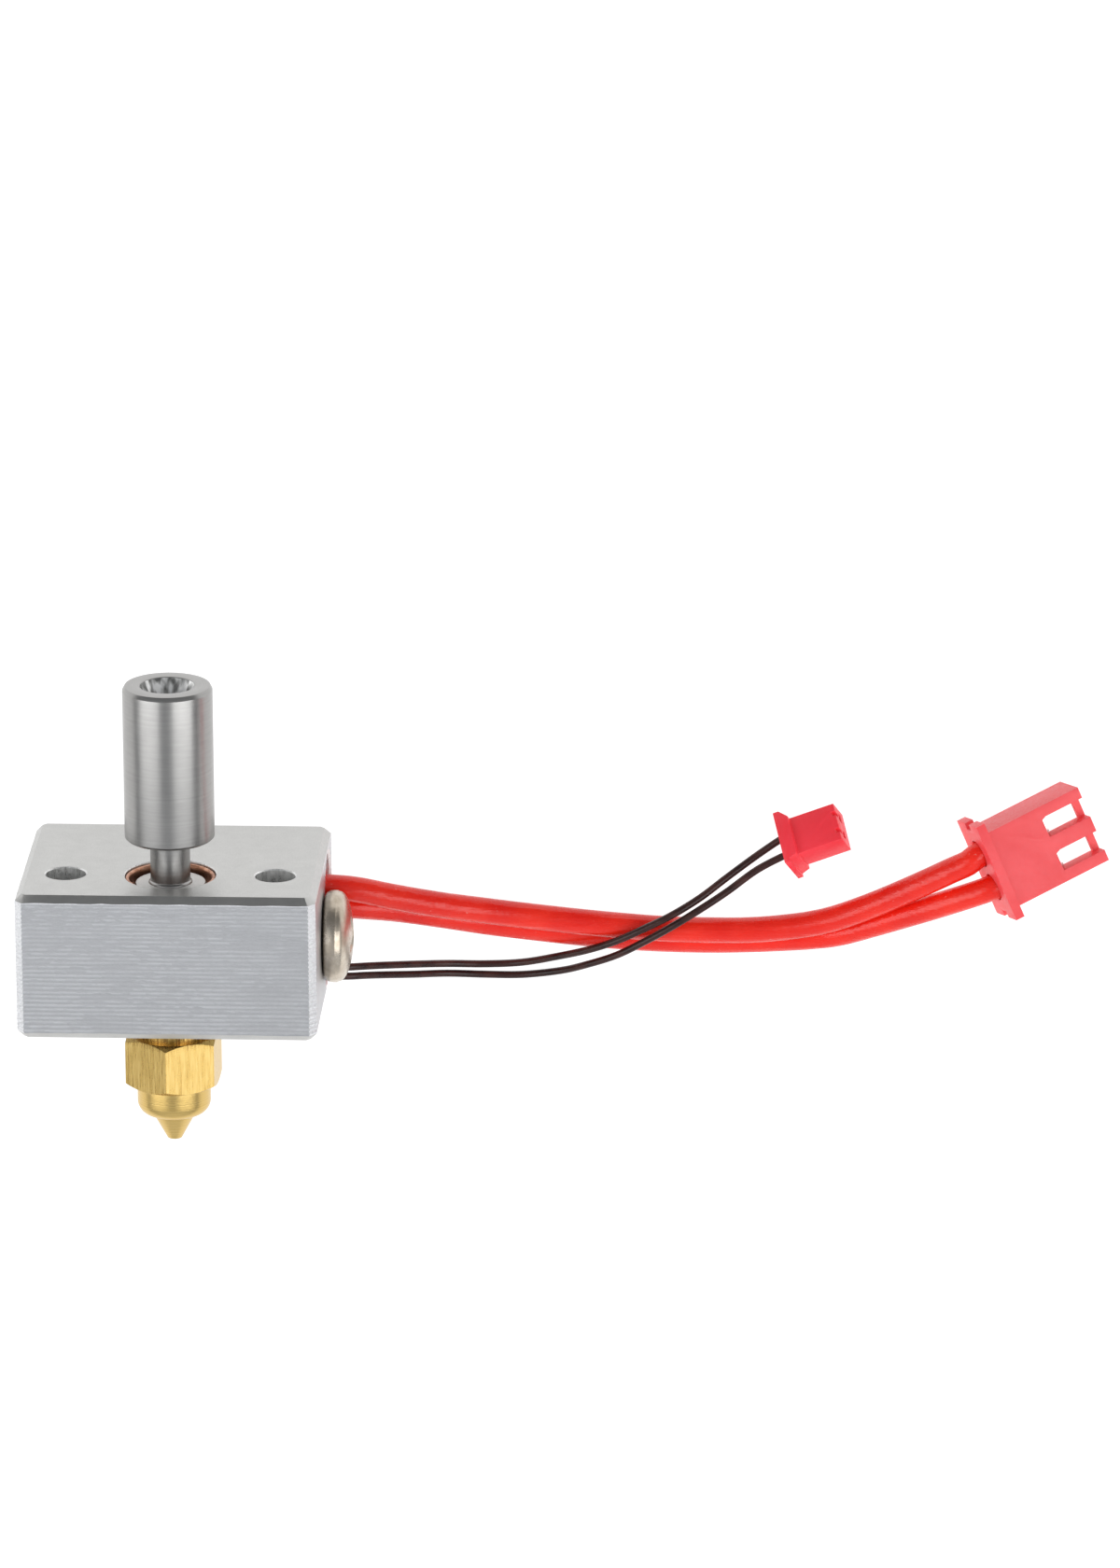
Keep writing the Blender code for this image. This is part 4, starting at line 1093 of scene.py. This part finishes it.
def dress(node, finish):
    """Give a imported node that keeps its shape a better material."""
    for slot in frame["nodes"][node].material_slots:
        slot.material = finish


def main():
    camera()
    stage()
    milled, ground, bored = milled_aluminium(), ground_aluminium(), bored_aluminium()
    steel = turned_metal("turned_stainless", (0.335, 0.33, 0.322), 0.3, 0.05, 0.0022, 6.0)
    # The spigot's top face: the throat's steel made rougher, and painted lighter and less metallic than the
    # rest of the throat, painted light at the foot of the ring's bore.
    face_painted_light = turned_metal("spigot_face_painted_light", (0.80, 0.79, 0.77), 0.5, metallic=0.4)
    funnel = funnel_painted_reflections()
    brass = brushed_brass()
    ceramic, tin = white_ceramic(), tinned_contact()
    red, brown = red_silicone(), brown_insulation()
    coral = moulded_plastic("coral_plastic", (0.88, 0.058, 0.066), (0.97, 0.085, 0.098))
    pink = moulded_plastic("pink_plastic", (0.88, 0.030, 0.048), (0.97, 0.045, 0.068))

    heater_block(milled, ground, rough_edge(), bored)
    throat(steel, face_painted_light, funnel)
    seal_ring(copper())
    nozzle_piece(brass)
    clamp_screw(nickel_plate())
    heater(steel, ceramic, heating_wire())
    thermistor(steel, ceramic)
    power_housing, sensor_housing = power_plug(coral), sensor_plug(pink)
    for letter in ("a", "b"):
        dress("heater_pin_" + letter, steel)
        dress("power_contact_" + letter, tin)
        dress("sensor_contact_" + letter, tin)
    dress("heater_core", ceramic)
    dress("thermistor_bead", amber_glass())

    for letter, route, side in (("a", HEATER_LEAD_A, POWER_PITCH), ("b", HEATER_LEAD_B, -POWER_PITCH)):
        lead("power_wire_" + letter, "heater_lead_" + letter, "red_silicone", route, POWER_FRAME, side,
             POWER_RUN_IN, HEATER_LEAD_RADIUS, red)
    for letter, route, side in (("a", SENSOR_LEAD_A, SENSOR_PITCH), ("b", SENSOR_LEAD_B, -SENSOR_PITCH)):
        lead("sensor_wire_" + letter, "thermistor_lead_" + letter, "brown_insulation", route, SENSOR_FRAME,
             side, SENSOR_RUN_IN, SENSOR_LEAD_RADIUS, brown)


main()
